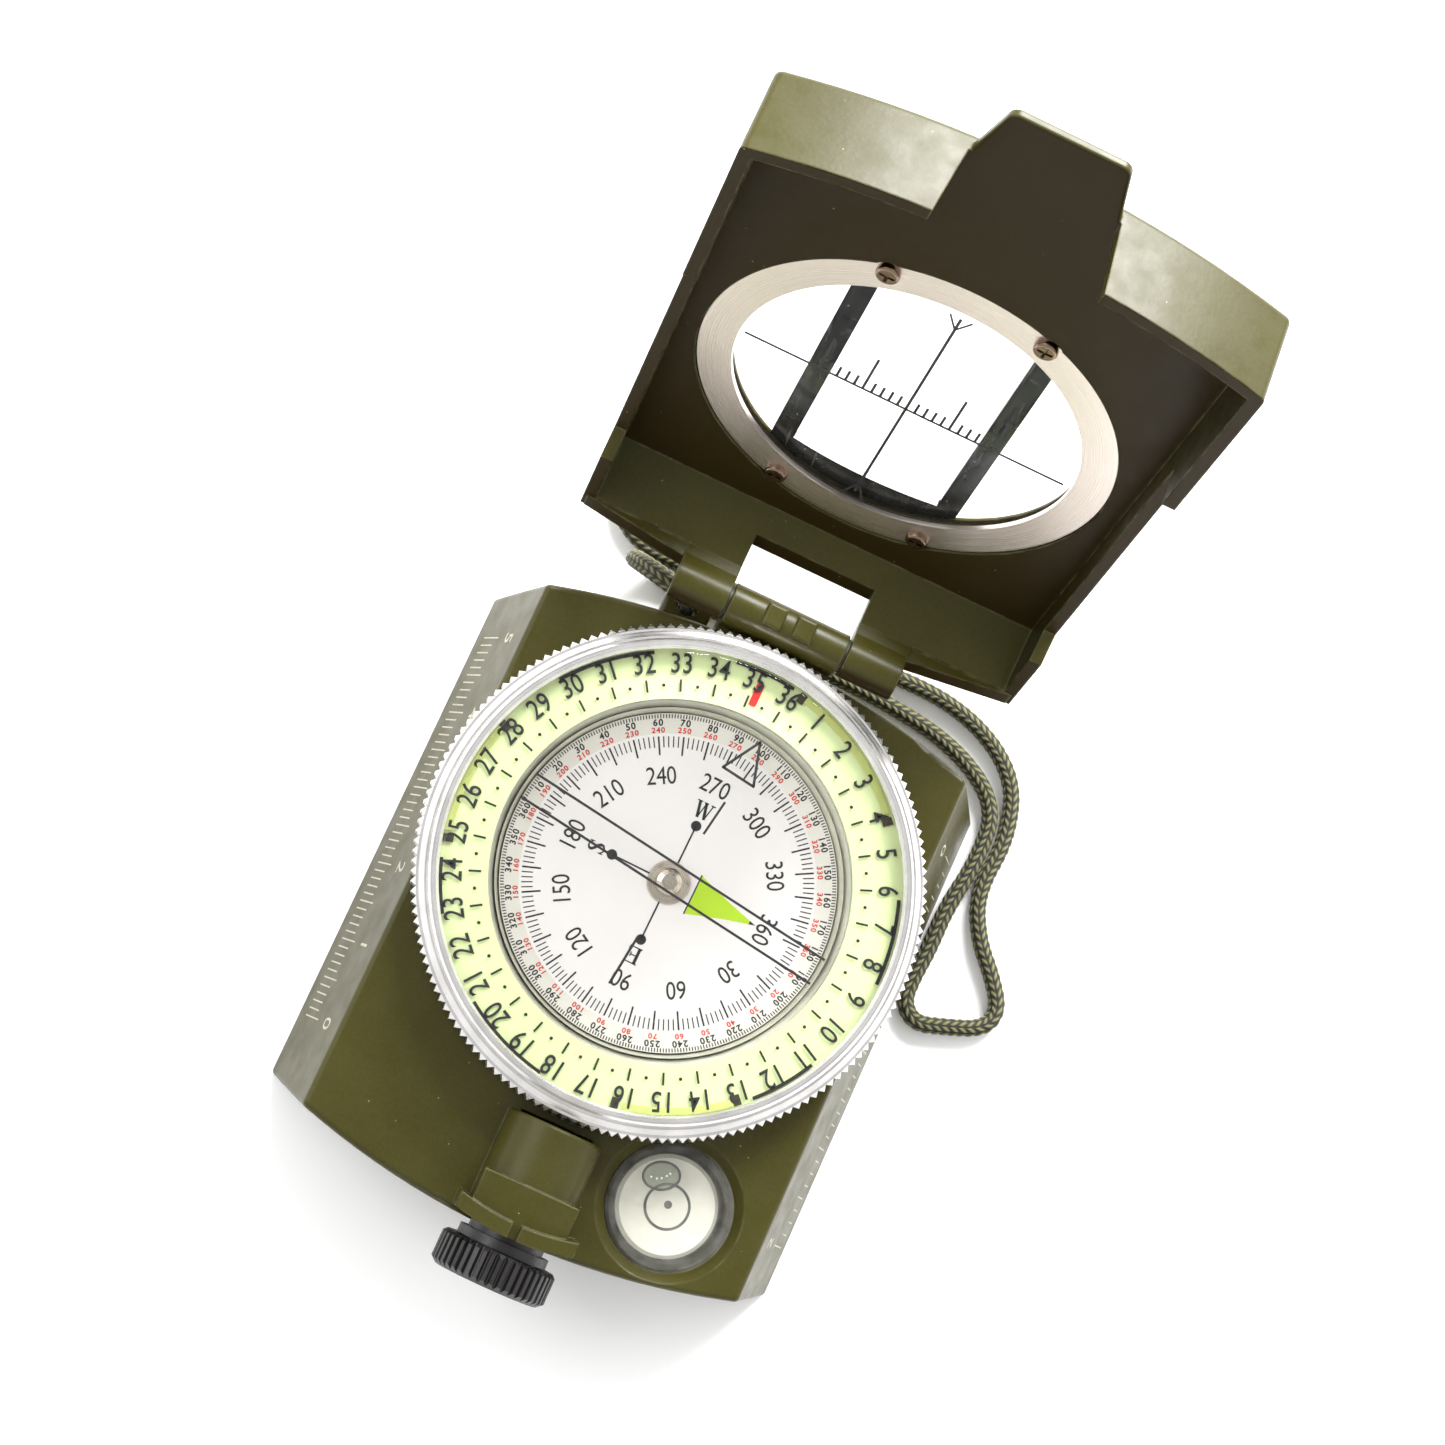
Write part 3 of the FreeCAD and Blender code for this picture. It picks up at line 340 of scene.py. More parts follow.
def plain(name, colour, rough, grain=0.4, spread=0.12, depth=0.004):
    """Moulded plastic, rubber or print: slight mottling and a fine surface."""
    made = Finish(name, colour, rough)
    lighter = tuple(min(1.0, value * (1 + 2 * spread)) for value in colour[:3]) + (1.0,)
    made.colour(made.blend(made.remap(made.noise(grain * 8, 4), *MID_NOISE), colour, lighter))
    made.rough(made.noise(grain * 3, 3), rough * 0.85, min(1.0, rough * 1.15))
    made.bump(made.noise(grain, 3), depth)
    return made.material


def clear(name, ior, tint):
    """Thin clear sheet: seen through straight, with a skin reflection on its outer side."""
    polished, smudged = 0.02, 0.08
    made = Finish(name, tint, polished)
    made.tree.nodes.remove(made.shader)
    through = made.add("ShaderNodeBsdfTransparent")
    made.feed(through.inputs["Color"], tint)
    skin = made.add("ShaderNodeBsdfGlossy")
    made.feed(skin.inputs["Color"], (1, 1, 1, 1))
    made.feed(skin.inputs["Roughness"], made.remap(made.noise(6), 0.0, 1.0, polished, smudged))
    fresnel = made.add("ShaderNodeFresnel")
    made.feed(fresnel.inputs["IOR"], ior)
    inner = made.add("ShaderNodeNewGeometry").outputs["Backfacing"]
    outer = made.remap(inner, 0.0, 1.0, 1.0, 0.0)
    return made.surface(made.times(fresnel.outputs["Fac"], outer), through, skin)


def hazy(name, tint, haze, thin=0.04, thick=0.13):
    """Moulded acrylic: clear, with a slightly milky body, dust, and a gloss skin."""
    made = Finish(name, haze, 0.12)
    made.colour(made.blend(made.specks(0.8, 0.12), haze, (0.12, 0.11, 0.08, 1)))
    made.rough(made.noise(1.2, 3), 0.08, 0.2)
    through = made.add("ShaderNodeBsdfTransparent")
    made.feed(through.inputs["Color"], tint)
    share = made.remap(made.noise(2.0, 3), *MID_NOISE, thin, thick)
    return made.surface(share, through, made.shader)


def solid_glass(name, tint, ior, rough):
    """Thick acrylic or a lens: it refracts, and lets light through to what it covers."""
    made = Finish(name, tint, rough, 0.0, {"Transmission Weight": 1.0, "IOR": ior})
    made.rough(made.noise(3.0, 2), rough, rough + 0.05)
    shadow = made.add("ShaderNodeLightPath").outputs["Is Shadow Ray"]
    open_way = made.add("ShaderNodeBsdfTransparent")
    made.feed(open_way.inputs["Color"], tint)
    return made.surface(shadow, made.shader, open_way)


def dusty_gloss():
    """Black gloss moulding with dust and hair scratches."""
    made = Finish("black_gloss", (0.02, 0.02, 0.02, 1), 0.14)
    scratch = made.noise(0.5, 2, made.stretched((1, 14, 14), turn=(0, 0, 12)))
    lines = made.remap(scratch, 0.66, 0.70)
    body = made.blend(made.times(lines, 0.35), (0.018, 0.018, 0.019, 1), (0.20, 0.19, 0.18, 1))
    made.colour(made.blend(made.specks(0.9, 0.10), body, (0.6, 0.6, 0.58, 1)))
    made.rough(made.noise(1.5, 3), 0.10, 0.30)
    return made.material


def worn_ink(name, colour, under):
    """Print that has rubbed through here and there to what is under it."""
    rough = 0.5
    made = Finish(name, colour, rough)
    rubbed = made.remap(made.noise(0.35, 3), 0.56, 0.68, 0.0, 0.7)
    made.colour(made.blend(rubbed, colour, under))
    made.rough(made.noise(0.5, 2), rough * 0.9, rough * 1.1)
    return made.material


def braided():
    """Nylon braid: each strand's crown has the nylon's olive, and the gaps between are painted
    near black: painted shade.
    """
    made = Finish("cord_braid", (0.1, 0.1, 0.04, 1), 0.7, fixed={"Sheen Weight": 0.15})
    crown = made.add("ShaderNodeAttribute")
    crown.attribute_name = "crown"
    # painted shade: the colour runs from near black in the gaps to olive on the crowns
    crown_over_gap_shade = made.remap(crown.outputs["Fac"], 0.35, 0.9)
    made.colour(made.blend(crown_over_gap_shade, (0.012, 0.012, 0.008, 1), (0.155, 0.150, 0.058, 1)))
    made.rough(made.remap(made.noise(0.12, 3), *MID_NOISE, 0.75, 1.2), 0.6, 0.85)
    made.bump(made.noise(0.10, 3), 0.02)
    return made.material


def on_lid(x, y, z):
    """A point drawn on the shut cover, turned to where the open cover holds it."""
    angle = math.radians(-LID_OPEN)
    across, up = y - HINGE[0], z - HINGE[1]
    return (x, HINGE[0] + across * math.cos(angle) - up * math.sin(angle),
            HINGE[1] + across * math.sin(angle) + up * math.cos(angle))


# ---------------------------------------------------------------- printed marks
@functools.cache
def glyph(letter, weight):
    """A letter of the built-in face as flat points and faces."""
    curve = bpy.data.curves.new("glyph", "FONT")
    curve.body = letter
    curve.offset = weight
    curve.resolution_u = 4
    holder = bpy.data.objects.new("glyph", curve)
    mesh = bpy.data.meshes.new_from_object(holder)
    points = [(vertex.co.x, vertex.co.y) for vertex in mesh.vertices]
    faces = [tuple(face.vertices) for face in mesh.polygons]
    bpy.data.objects.remove(holder)
    bpy.data.meshes.remove(mesh)
    return points, faces


def around(radius, azimuth):
    """A spot on a dial: azimuth in degrees clockwise from the hinge."""
    angle = math.radians(azimuth)
    return radius * math.sin(angle), radius * math.cos(angle)


def turned_spot(x, y, turn):
    """A spot of an upright drawing, turned clockwise about the dial's centre."""
    angle = math.radians(turn)
    return (x * math.cos(angle) + y * math.sin(angle),
            y * math.cos(angle) - x * math.sin(angle))


def stroke(start, end, width):
    """The corners of a straight bar between two spots."""
    (x1, y1), (x2, y2) = start, end
    half = width / 2 / math.hypot(x2 - x1, y2 - y1)
    sx, sy = (y1 - y2) * half, (x2 - x1) * half
    return [(x1 - sx, y1 - sy), (x2 - sx, y2 - sy), (x2 + sx, y2 + sy), (x1 + sx, y1 + sy)]


class Ink:
    """Flat printed shapes on one surface, joined in one thin closed piece."""

    def __init__(self, lay):
        self.lay = lay
        self.points = []
        self.faces = []

    def add(self, points, faces, spot=(0.0, 0.0), turn=0.0):
        """A flat shape, turned clockwise by so many degrees and moved to its spot."""
        start = len(self.points)
        for x, y in points:
            across, up = turned_spot(x, y, turn)
            self.points.append((spot[0] + across, spot[1] + up))
        self.faces.extend(tuple(start + index for index in face) for face in faces)

    def shape(self, points, spot=(0.0, 0.0), turn=0.0):
        self.add(points, [tuple(range(len(points)))], spot, turn)

    def drawn(self, strokes, size, spot, turn):
        """A letter of straight strokes in a unit box, scaled, turned and moved."""
        for x1, y1, x2, y2, width in strokes:
            corners = stroke((x1, y1), (x2, y2), width)
            self.shape([(x * size, y * size) for x, y in corners], spot, turn)

    def bar(self, start, end, width):
        self.shape(stroke(start, end, width))

    def tick(self, azimuth, inner, outer, width):
        """A bar along a radius of the dial."""
        self.bar(around(inner, azimuth), around(outer, azimuth), width)

    def dot(self, spot, radius, count=16):
        self.shape([(radius * math.cos(math.tau * k / count),
                     radius * math.sin(math.tau * k / count)) for k in range(count)], spot)

    def arc(self, radius, width, start, end, centre=(0.0, 0.0)):
        """A band along a circle between two azimuths."""
        facet = 1.5
        count = max(2, int(abs(end - start) / facet))
        steps = [start + (end - start) * k / count for k in range(count + 1)]
        points = [around(radius + side * width / 2, step)
                  for step in steps for side in (-1, 1)]
        faces = [(2 * k, 2 * k + 1, 2 * k + 3, 2 * k + 2) for k in range(count)]
        self.add(points, faces, centre)

    def outline(self, corners, width):
        """Bars round a closed figure, with rounded corners."""
        for start, end in zip(corners, corners[1:] + corners[:1]):
            self.bar(start, end, width)
            self.dot(start, width / 2, 8)

    def text(self, words, size, wide, spot, turn, weight=0.0, gap=1.22):
        """Letters of a given height and digit width, centred on the spot."""
        zero = glyph("0", weight)[0]
        base = min(y for x, y in zero)
        tall = max(y for x, y in zero) - base
        broad = max(x for x, y in zero) - min(x for x, y in zero)
        for index, letter in enumerate(words):
            points, faces = glyph(letter, weight)
            middle = (max(x for x, y in points) + min(x for x, y in points)) / 2
            shift = (index - (len(words) - 1) / 2) * wide * gap
            self.add([((x - middle) * wide / broad + shift, ((y - base) / tall - 0.5) * size)
                      for x, y in points], faces, spot, turn)

    def make(self, name, material, body, thick=INK_THICK):
        """The printed piece: tops, undersides, and walls along every free edge."""
        count = len(self.points)
        points = [self.lay(x, y, out) for out in (thick, 0.0) for x, y in self.points]
        sides = {}
        for face in self.faces:
            for start, end in zip(face, face[1:] + face[:1]):
                sides[(start, end)] = True
        walls = [(end, start, start + count, end + count) for start, end in sides
                 if (end, start) not in sides]
        below = [tuple(index + count for index in reversed(face)) for face in self.faces]
        return mesh_piece(name, points, self.faces + below + walls, material, body)


def tube_faces(count, sides, closed):
    """Four-cornered faces between a tube's rings of points; closed makes it a loop."""
    rings = count if closed else count - 1
    return [(k * sides + s, k * sides + (s + 1) % sides,
             (k + 1) % count * sides + (s + 1) % sides, (k + 1) % count * sides + s)
            for k in range(rings) for s in range(sides)]


def mesh_piece(name, points, faces, material, body, smooth=False):
    """A piece from millimetre points, riding on a body."""
    mesh = bpy.data.meshes.new(name)
    mesh.from_pydata([Vector(point) * MM for point in points], [], faces)
    sheet = bmesh.new()
    sheet.from_mesh(mesh)
    bmesh.ops.recalc_face_normals(sheet, faces=sheet.faces[:])
    sheet.to_mesh(mesh)
    sheet.free()
    mesh.polygons.foreach_set("use_smooth", [smooth] * len(mesh.polygons))
    mesh.materials.append(material)
    piece = bpy.data.objects.new(name, mesh)
    bpy.context.scene.collection.objects.link(piece)
    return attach(piece, body)


def level_surface(height):
    """A flat surface at a height, printed on from above."""
    return lambda x, y, out: (x, y, height + out)


def card_cone(x, y, out):
    """The card's raised rim, which slopes up from the card to its outer edge."""
    climb = (math.hypot(x, y) - CARD_RAD) * (RIM_TOP - CARD_TOP) / (RIM_RAD - CARD_RAD)
    return x, y, CARD_TOP + climb + out


def bowl_slope(x, y, out):
    """The slope on which the pale band painted over the shaded gap between the card's rim and
    the bowl's wall lies, rising outwards: painted light.
    """
    return x, y, RIM_TOP - GAP_COVER_DROP + (math.hypot(x, y) - RIM_RAD) * GAP_COVER_SLOPE + out


def wall(side):
    """The case's left (-1) or right (1) wall: x runs along it, y up it."""
    lean, rise = math.sin(WALL_LEAN), math.cos(WALL_LEAN)
    foot = HOUSING_HALF * side

    def lay(x, y, out):
        return (foot - side * (lean * y - rise * out), side * x, rise * y + lean * out)
    return lay


def window_side(x, y, out):
    """The inner face of the window glass, drawn as on the shut cover."""
    return on_lid(x, y, RETICLE_Z - out)


# ---------------------------------------------------------------- bezel print
def bezel_print(black, brown, band):
    """Figures, ticks, lines and an arrow under the crystal, and patches of colour."""
    foot = CRYSTAL_FOOT - 0.05
    figure_rad, dot_rad, tick_inner, tick_outer = 25.25, 22.65, 21.9, 23.35
    arc_rad, block_rad, band_rad = 26.52, 26.1, 26.3
    arc_width, block_width, band_width, block_half = 0.42, 1.25, 0.85, 1.0
    figures = {"size": 2.4, "wide": 1.2, "weight": 0.008, "gap": 1.16}
    line_end, line_width = 19.8, 0.3
    arrow_tip, arrow_foot, arrow_half = 19.1, 14.3, 2.1

    def at(value):
        return BEZEL_TURN + 10 * value

    def square(x, y):
        return turned_spot(x, y, BEZEL_TURN)

    numbers = Ink(level_surface(foot))
    for value in range(1, 37):
        turn = at(value)
        numbers.text(str(value), spot=around(figure_rad, turn), turn=turn, **figures)
        numbers.tick(turn, tick_inner, tick_outer, 0.25)
        numbers.dot(around(dot_rad, at(value + 0.5)), 0.2)
    for start, end in ((6.2, 8.4), (11.0, 12.7), (18.2, 20.6), (22.9, 24.3), (29.8, 32.3),
                       (34.4, 36.0)):
        numbers.arc(arc_rad, arc_width, at(start), at(end))
    for height in (1.87, -1.33):
        numbers.bar(square(-line_end, height), square(line_end, height), line_width)
    numbers.outline([square(0, arrow_tip), square(-arrow_half, arrow_foot),
                     square(arrow_half, arrow_foot)], 0.32)
    numbers.tick(9.5, 6.5, 11.0, 0.28)
    numbers.tick(187.0, 7.6, 13.8, 0.3)
    numbers.make("bezel_numbers", black, "bezel")
    blocks = Ink(level_surface(foot - 0.01))
    for value in (36.3, 4.2, 13.1, 16.2, 24.8, 28.0):
        blocks.arc(block_rad, block_width, at(value) - block_half, at(value) + block_half)
    blocks.make("bezel_blocks", brown, "bezel")
    bands = Ink(level_surface(foot - 0.02))
    for start, end in ((0.3, 4.0), (13.2, 16.0), (25.0, 28.0)):
        bands.arc(band_rad, band_width, at(start), at(end))
    bands.make("bezel_bands", band, "bezel")


# ---------------------------------------------------------------- card print
# letters with serifs, as strokes x1, y1, x2, y2, width in a box one unit high, drawn about
# the box's middle
SERIF_LETTERS = {
    "W": [(-0.42, 0.5, -0.2, -0.5, 0.17), (-0.2, -0.5, 0.0, 0.45, 0.07),
          (-0.02, 0.5, 0.22, -0.5, 0.17), (0.22, -0.5, 0.43, 0.5, 0.07),
          (-0.58, 0.47, -0.26, 0.47, 0.07), (-0.14, 0.47, 0.12, 0.47, 0.07),
          (0.3, 0.47, 0.58, 0.47, 0.07)],
    "E": [(-0.22, -0.5, -0.22, 0.5, 0.18), (-0.38, 0.465, 0.36, 0.465, 0.07),
          (-0.38, -0.465, 0.38, -0.465, 0.07), (-0.2, 0.0, 0.18, 0.0, 0.07),
          (0.34, 0.5, 0.34, 0.26, 0.07), (0.37, -0.5, 0.37, -0.22, 0.07),
          (0.18, 0.14, 0.18, -0.14, 0.07)],
    "S": [(0.24, 0.32, 0.12, 0.46, 0.08), (0.14, 0.45, -0.06, 0.48, 0.08),
          (-0.04, 0.48, -0.22, 0.38, 0.11), (-0.21, 0.4, -0.23, 0.2, 0.15),
          (-0.23, 0.24, -0.04, 0.05, 0.17), (-0.06, 0.07, 0.14, -0.07, 0.18),
          (0.12, -0.05, 0.24, -0.22, 0.17), (0.24, -0.18, 0.2, -0.39, 0.15),
          (0.21, -0.37, 0.04, -0.48, 0.11), (0.06, -0.48, -0.14, -0.46, 0.08),
          (-0.12, -0.47, -0.27, -0.3, 0.08), (0.26, 0.5, 0.26, 0.2, 0.06),
          (-0.28, -0.5, -0.28, -0.2, 0.06)],
}


def from_north(bearing):
    """Where a bearing of the card stands, clockwise of the hinge."""
    return NORTH_TURN + bearing


def card_print(black, green):
    """The card's degree marks, figures, letters and green north arrow."""
    tick_outer, ten_inner, two_inner = 17.1, 14.9, 15.8
    figure_rad, letter_rad, dot_rad = 12.5, 9.35, 7.35
    figures = {"size": 2.1, "wide": 1.08, "gap": 1.12}
    letter_size, ray_inner, ray_outer = 2.0, 2.4, 7.3
    foot_line, foot_half, needle_foot, needle_half, needle_top = 3.15, 2.5, 3.25, 2.43, 10.5
    north = from_north(0)
    marks = Ink(level_surface(CARD_TOP))
    for value in range(0, 360, 2):
        if value % 10 == 0:
            marks.tick(from_north(value), ten_inner, tick_outer, 0.2)
        else:
            marks.tick(from_north(value), two_inner, tick_outer, 0.13)
    for value in range(30, 361, 30):
        turn = from_north(value)
        marks.text(str(value), spot=around(figure_rad, turn), turn=turn, **figures)
    for value, letter in ((90, "E"), (180, "S"), (270, "W")):
        turn = from_north(value)
        marks.drawn(SERIF_LETTERS[letter], letter_size, around(letter_rad, turn), turn)
        marks.dot(around(dot_rad, turn), 0.62)
        marks.tick(turn, ray_inner, ray_outer, 0.2)
    marks.bar(turned_spot(-foot_half, foot_line, north),
              turned_spot(foot_half, foot_line, north), 0.16)
    marks.shape([(-0.22, needle_top), (0.22, needle_top), (0.0, 11.3)], (0, 0), north)
    marks.make("card_marks", black, "card")
    needle = Ink(level_surface(CARD_TOP))
    needle.shape([(-needle_half, needle_foot), (needle_half, needle_foot), (1.05, 7.4),
                  (0.2, needle_top), (-0.2, needle_top), (-1.05, 7.4)], (0, 0), north)
    needle.make("north_arrow", green, "card")


def rim_print(black, red):
    """Two rows of small figures on the rim: bearings in red, their opposites in black."""
    tick_inner, tick_outer, black_rad, red_rad = 19.15, 19.6, 18.68, 17.82
    black_figures = {"size": 0.8, "wide": 0.54, "weight": 0.03, "gap": 1.2}
    red_figures = {"size": 0.64, "wide": 0.46, "weight": 0.03, "gap": 1.2}
    outer = Ink(card_cone)
    for value in range(360):
        outer.tick(from_north(value), tick_inner, tick_outer, 0.13)
    inner = Ink(card_cone)
    for value in range(10, 361, 10):
        turn = from_north(value)
        opposite = (value + 180) % 360 or 360
        outer.text(str(opposite), spot=around(black_rad, turn), turn=turn, **black_figures)
        inner.text(str(value), spot=around(red_rad, turn), turn=turn, **red_figures)
    outer.make("rim_marks", black, "card")
    inner.make("rim_figures", red, "card")


# ---------------------------------------------------------------- small prints
def ruler(name, side, zero, pitch, count, labelled, tops, white):
    """A scale along a wall. Every so many marks have a figure; tops says how high marks end,
    each height with the step it repeats at, longest first."""
    mark_foot, mark_width, figure_height, thick = 2.6, 0.17, 11.2, 0.015
    figures = {"size": 2.3, "wide": 1.5, "turn": 0}
    rise = 1 / math.cos(WALL_LEAN)
    scale = Ink(wall(side))
    for step in range(count + 1):
        top = next(top for every, top in tops if step % every == 0)
        place = zero - step * pitch
        scale.bar((place, mark_foot * rise), (place, top * rise), mark_width)
        if step % labelled == 0:
            scale.text(str(step // labelled), spot=(place, figure_height * rise), **figures)
    scale.make(name, white, "case", thick)


def case_print(black, white, pale):
    """A pale band painted over the shaded gap round the card's rim as painted light, the index
    dot, the level's target and the two rulers.
    """
    gap_cover_width, index_rad = 0.45, 24.7
    circle_rad, circle_width, dot_rad, dot_shift = 2.6, 0.32, 0.48, 0.25
    # painted light: a pale band laid over the shaded gap between the card's rim and the bowl's
    # wall
    gap_cover = Ink(bowl_slope)
    gap_cover.arc(RIM_RAD + 0.375, gap_cover_width, 0, 360)
    gap_cover.make("bowl_step", pale, "case")
    index = Ink(level_surface(INDEX_TOP))
    index.dot((0.0, index_rad), 0.3)
    index.make("index_dot", black, "case")
    target = Ink(level_surface(TARGET_TOP))
    target.arc(circle_rad, circle_width, 0, 360, (LEVEL.x, LEVEL.y))
    target.dot((LEVEL.x, LEVEL.y + dot_shift), dot_rad)
    target.make("level_circle", black, "case", 0.04)
    ruler("ruler_cm", side=-1, zero=31, pitch=1, count=50, labelled=10,
          tops=((5, 7.6), (1, 6.4)), white=white)
    ruler("ruler_inch", side=1, zero=18, pitch=INCH / 16, count=32, labelled=16,
          tops=((16, 7.8), (8, 7.0), (4, 6.3), (1, 5.2)), white=white)


def reticle(black):
    """The window's cross lines, its two pointers and its scale of 20 steps."""
    pitch, long_mark, short_mark, mark_width = 1.05, 6.0, 1.9, 0.34
    pointer_half, pointer_width = 1.3, 0.28
    lines = Ink(window_side)
    lines.bar((0, -18.4), (0, 18.6), 0.36)
    lines.bar((-19.5, 0), (19.3, 0), 0.40)
    for side in (-pointer_half, pointer_half):
        lines.bar((0, -16.3), (side, -18.5), pointer_width)
    lines.outline([(0, 16.7), (-pointer_half, 19.9), (pointer_half, 19.9)], pointer_width)
    for step in range(-10, 11):
        tall = long_mark if step % 5 == 0 else short_mark
        if step:
            lines.bar((step * pitch, 0), (step * pitch, -tall), mark_width)
    lines.make("window_reticle", black, "lid", 0.012)


def level_bubble(dark, film_shade, glint):
    """The level's bubble as it looks: a black ring painted round its edge and a grey film
    painted inside it, both painted shade, and white dots as painted glints.
    """
    centre = Vector((LEVEL.x - 2.3, LEVEL.y + 2.95, 15.25))
    half_long, half_short, turn = 2.15, 1.6, -24
    edge_rad, edge_sides, rounds = 0.15, 8, 40
    angles = [math.tau * k / rounds for k in range(rounds)]
    oval = [(half_long * math.cos(angle), half_short * math.sin(angle)) for angle in angles]
    points = []
    for x, y in oval:
        middle = Vector((*turned_spot(x, y, turn), 0))
        out = middle.normalized()
        for k in range(edge_sides):
            side = math.tau * k / edge_sides
            points.append(centre + middle + out * edge_rad * math.cos(side)
                          + Vector((0, 0, edge_rad * math.sin(side))))
    faces = tube_faces(rounds, edge_sides, True)
    # painted shade: the black ring round the bubble's edge
    mesh_piece("level_bubble", points, faces, dark, "case", True)
    # painted shade: the grey film inside the bubble
    film = Ink(level_surface(centre.z - 0.05))
    film.shape(oval, (centre.x, centre.y), turn)
    film.make("level_air", film_shade, "case", 0.03)
    # painted highlights: white dots as glints on the bubble
    shine = Ink(level_surface(centre.z + 0.05))
    for spot in ((-1.2, -0.1), (-0.55, -0.3), (0.0, -0.25), (0.6, 0.0), (1.0, 0.25)):
        across, up = turned_spot(*spot, turn)
        shine.dot((centre.x + across, centre.y + up), 0.13, 10)
    shine.make("level_glint", glint, "case", 0.04)


# ---------------------------------------------------------------- lanyard
def route_line(route):
    """Points along the cord's own smooth line, from its NURBS spline."""
    curve = bpy.data.curves.new("route", "CURVE")
    curve.dimensions = "3D"
    spline = curve.splines.new("NURBS")
    spline.points.add(len(route) - 1)
    for point, spot in zip(spline.points, route):
        point.co = (*spot, 1.0)
    spline.order_u = 3
    spline.use_endpoint_u = True
    spline.resolution_u = 24
    holder = bpy.data.objects.new("route", curve)
    mesh = bpy.data.meshes.new_from_object(holder)
    line = [vertex.co.copy() for vertex in mesh.vertices]
    bpy.data.objects.remove(holder)
    bpy.data.meshes.remove(mesh)
    return line


def spaced(line, step):
    """The same line with points at even distances."""
    lengths = [0.0]
    for start, end in zip(line, line[1:]):
        lengths.append(lengths[-1] + (end - start).length)
    count = round(lengths[-1] / step)
    points = []
    index = 0
    for k in range(count + 1):
        want = lengths[-1] * k / count
        while index < len(line) - 2 and lengths[index + 1] < want:
            index += 1
        share = (want - lengths[index]) / max(1e-9, lengths[index + 1] - lengths[index])
        points.append(line[index].lerp(line[index + 1], share))
    return points


def braid_height(along, around_share):
    """How high a round braid of 8 columns stands: 1 on a strand's crown, 0 in a gap."""
    columns, stitch, slant = 8, 1.05, 0.9
    place = around_share * columns
    column = math.floor(place)
    across = place - column - 0.5
    phase = along / stitch + (slant if column % 2 else -slant) * across
    crown = 0.5 + 0.5 * math.cos(math.tau * phase)
    return crown ** 0.6 * (1 - abs(2 * across) ** 4) ** 0.5


def braided_tube(name, line, radius, material, body, closed=False, sides=40):
    """A round braid along a line. Its crowns reach the cord's radius and gaps lie deeper."""
    gap_depth = 0.20
    count = len(line)
    tangents = []
    for k in range(count):
        ahead = line[(k + 1) % count] if closed else line[min(k + 1, count - 1)]
        behind = line[k - 1] if closed else line[max(k - 1, 0)]
        tangents.append((ahead - behind).normalized())
    normal = tangents[0].orthogonal().normalized()
    normals = [normal]
    for before, after in zip(tangents, tangents[1:]):
        normal = before.rotation_difference(after) @ normal
        normals.append(normal)
    twist = 0.0
    if closed:
        last = tangents[-1].rotation_difference(tangents[0]) @ normal
        side = tangents[0].cross(normals[0])
        twist = -math.atan2(last.dot(side), last.dot(normals[0]))
    points = []
    crowns = []
    along = 0.0
    for k in range(count):
        if k:
            along += (line[k] - line[k - 1]).length
        first = Quaternion(tangents[k], twist * k / count) @ normals[k]
        second = tangents[k].cross(first)
        for side in range(sides):
            angle = math.tau * side / sides
            height = braid_height(along, side / sides)
            reach = radius * (1 - gap_depth + gap_depth * height)
            points.append(line[k] + first * reach * math.cos(angle)
                          + second * reach * math.sin(angle))
            crowns.append(height)
    faces = tube_faces(count, sides, closed)
    if not closed:
        faces.append(tuple(reversed(range(sides))))
        faces.append(tuple(range((count - 1) * sides, count * sides)))
    piece = mesh_piece(name, points, faces, material, body, True)
    # the crown height, by which the cord's material paints the gaps dark as painted shade
    layer = piece.data.attributes.new("crown", "FLOAT", "POINT")
    layer.data.foreach_set("value", crowns)
    return piece


def tied_knot(name, centre, axis, reach, half, thick, material, body):
    """A tight overhand knot: a three-lobed loop about its axis, which reaches so far out from
    it and half its height along it."""
    turn = UP.rotation_difference(axis)
    count = 110
    line = []
    for k in range(count):
        angle = math.tau * k / count
        lobe = Vector((math.sin(angle) + 2 * math.sin(2 * angle),
                       math.cos(angle) - 2 * math.cos(2 * angle), 0)) * reach / 3
        lobe.z = -half * math.sin(3 * angle)
        line.append(centre + turn @ lobe)
    return braided_tube(name, line, thick, material, body, True, 24)


def middle_of(box):
    """The middle of a box in the part's frame, in millimetres."""
    low, high = [corner / MM for corner in box]
    return (low + high) / 2


def lanyard(material):
    """The cord with its two knots, drawn in place of the CAD's cord and knots, which are
    hidden.
    """
    line = spaced(route_line(CORD_ROUTE), 0.2)
    cord = braided_tube("wrist_cord", line, CORD_RAD, material, "case")
    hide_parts("lanyard_cord")
    stopper = tied_knot("stopper_knot", middle_of(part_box("lanyard_stopper")), UP,
                        reach=1.12, half=0.55, thick=0.85, material=material, body="case")
    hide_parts("lanyard_stopper")
    heading = (Vector(CORD_ROUTE[-1]) - Vector(CORD_ROUTE[-2])).normalized()
    knot = tied_knot("end_knot", middle_of(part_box("lanyard_knot")), heading,
                     reach=1.5, half=1.55, thick=0.98, material=material, body="case")
    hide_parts("lanyard_knot")


# ---------------------------------------------------------------- the CAD pieces' finishes
def dress(material, *names):
    """Give CAD pieces one material in place of their own."""
    for name in names:
        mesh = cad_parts[name].data
        mesh.materials.clear()
        mesh.materials.append(material)
        mesh.polygons.foreach_set("material_index", [0] * len(mesh.polygons))


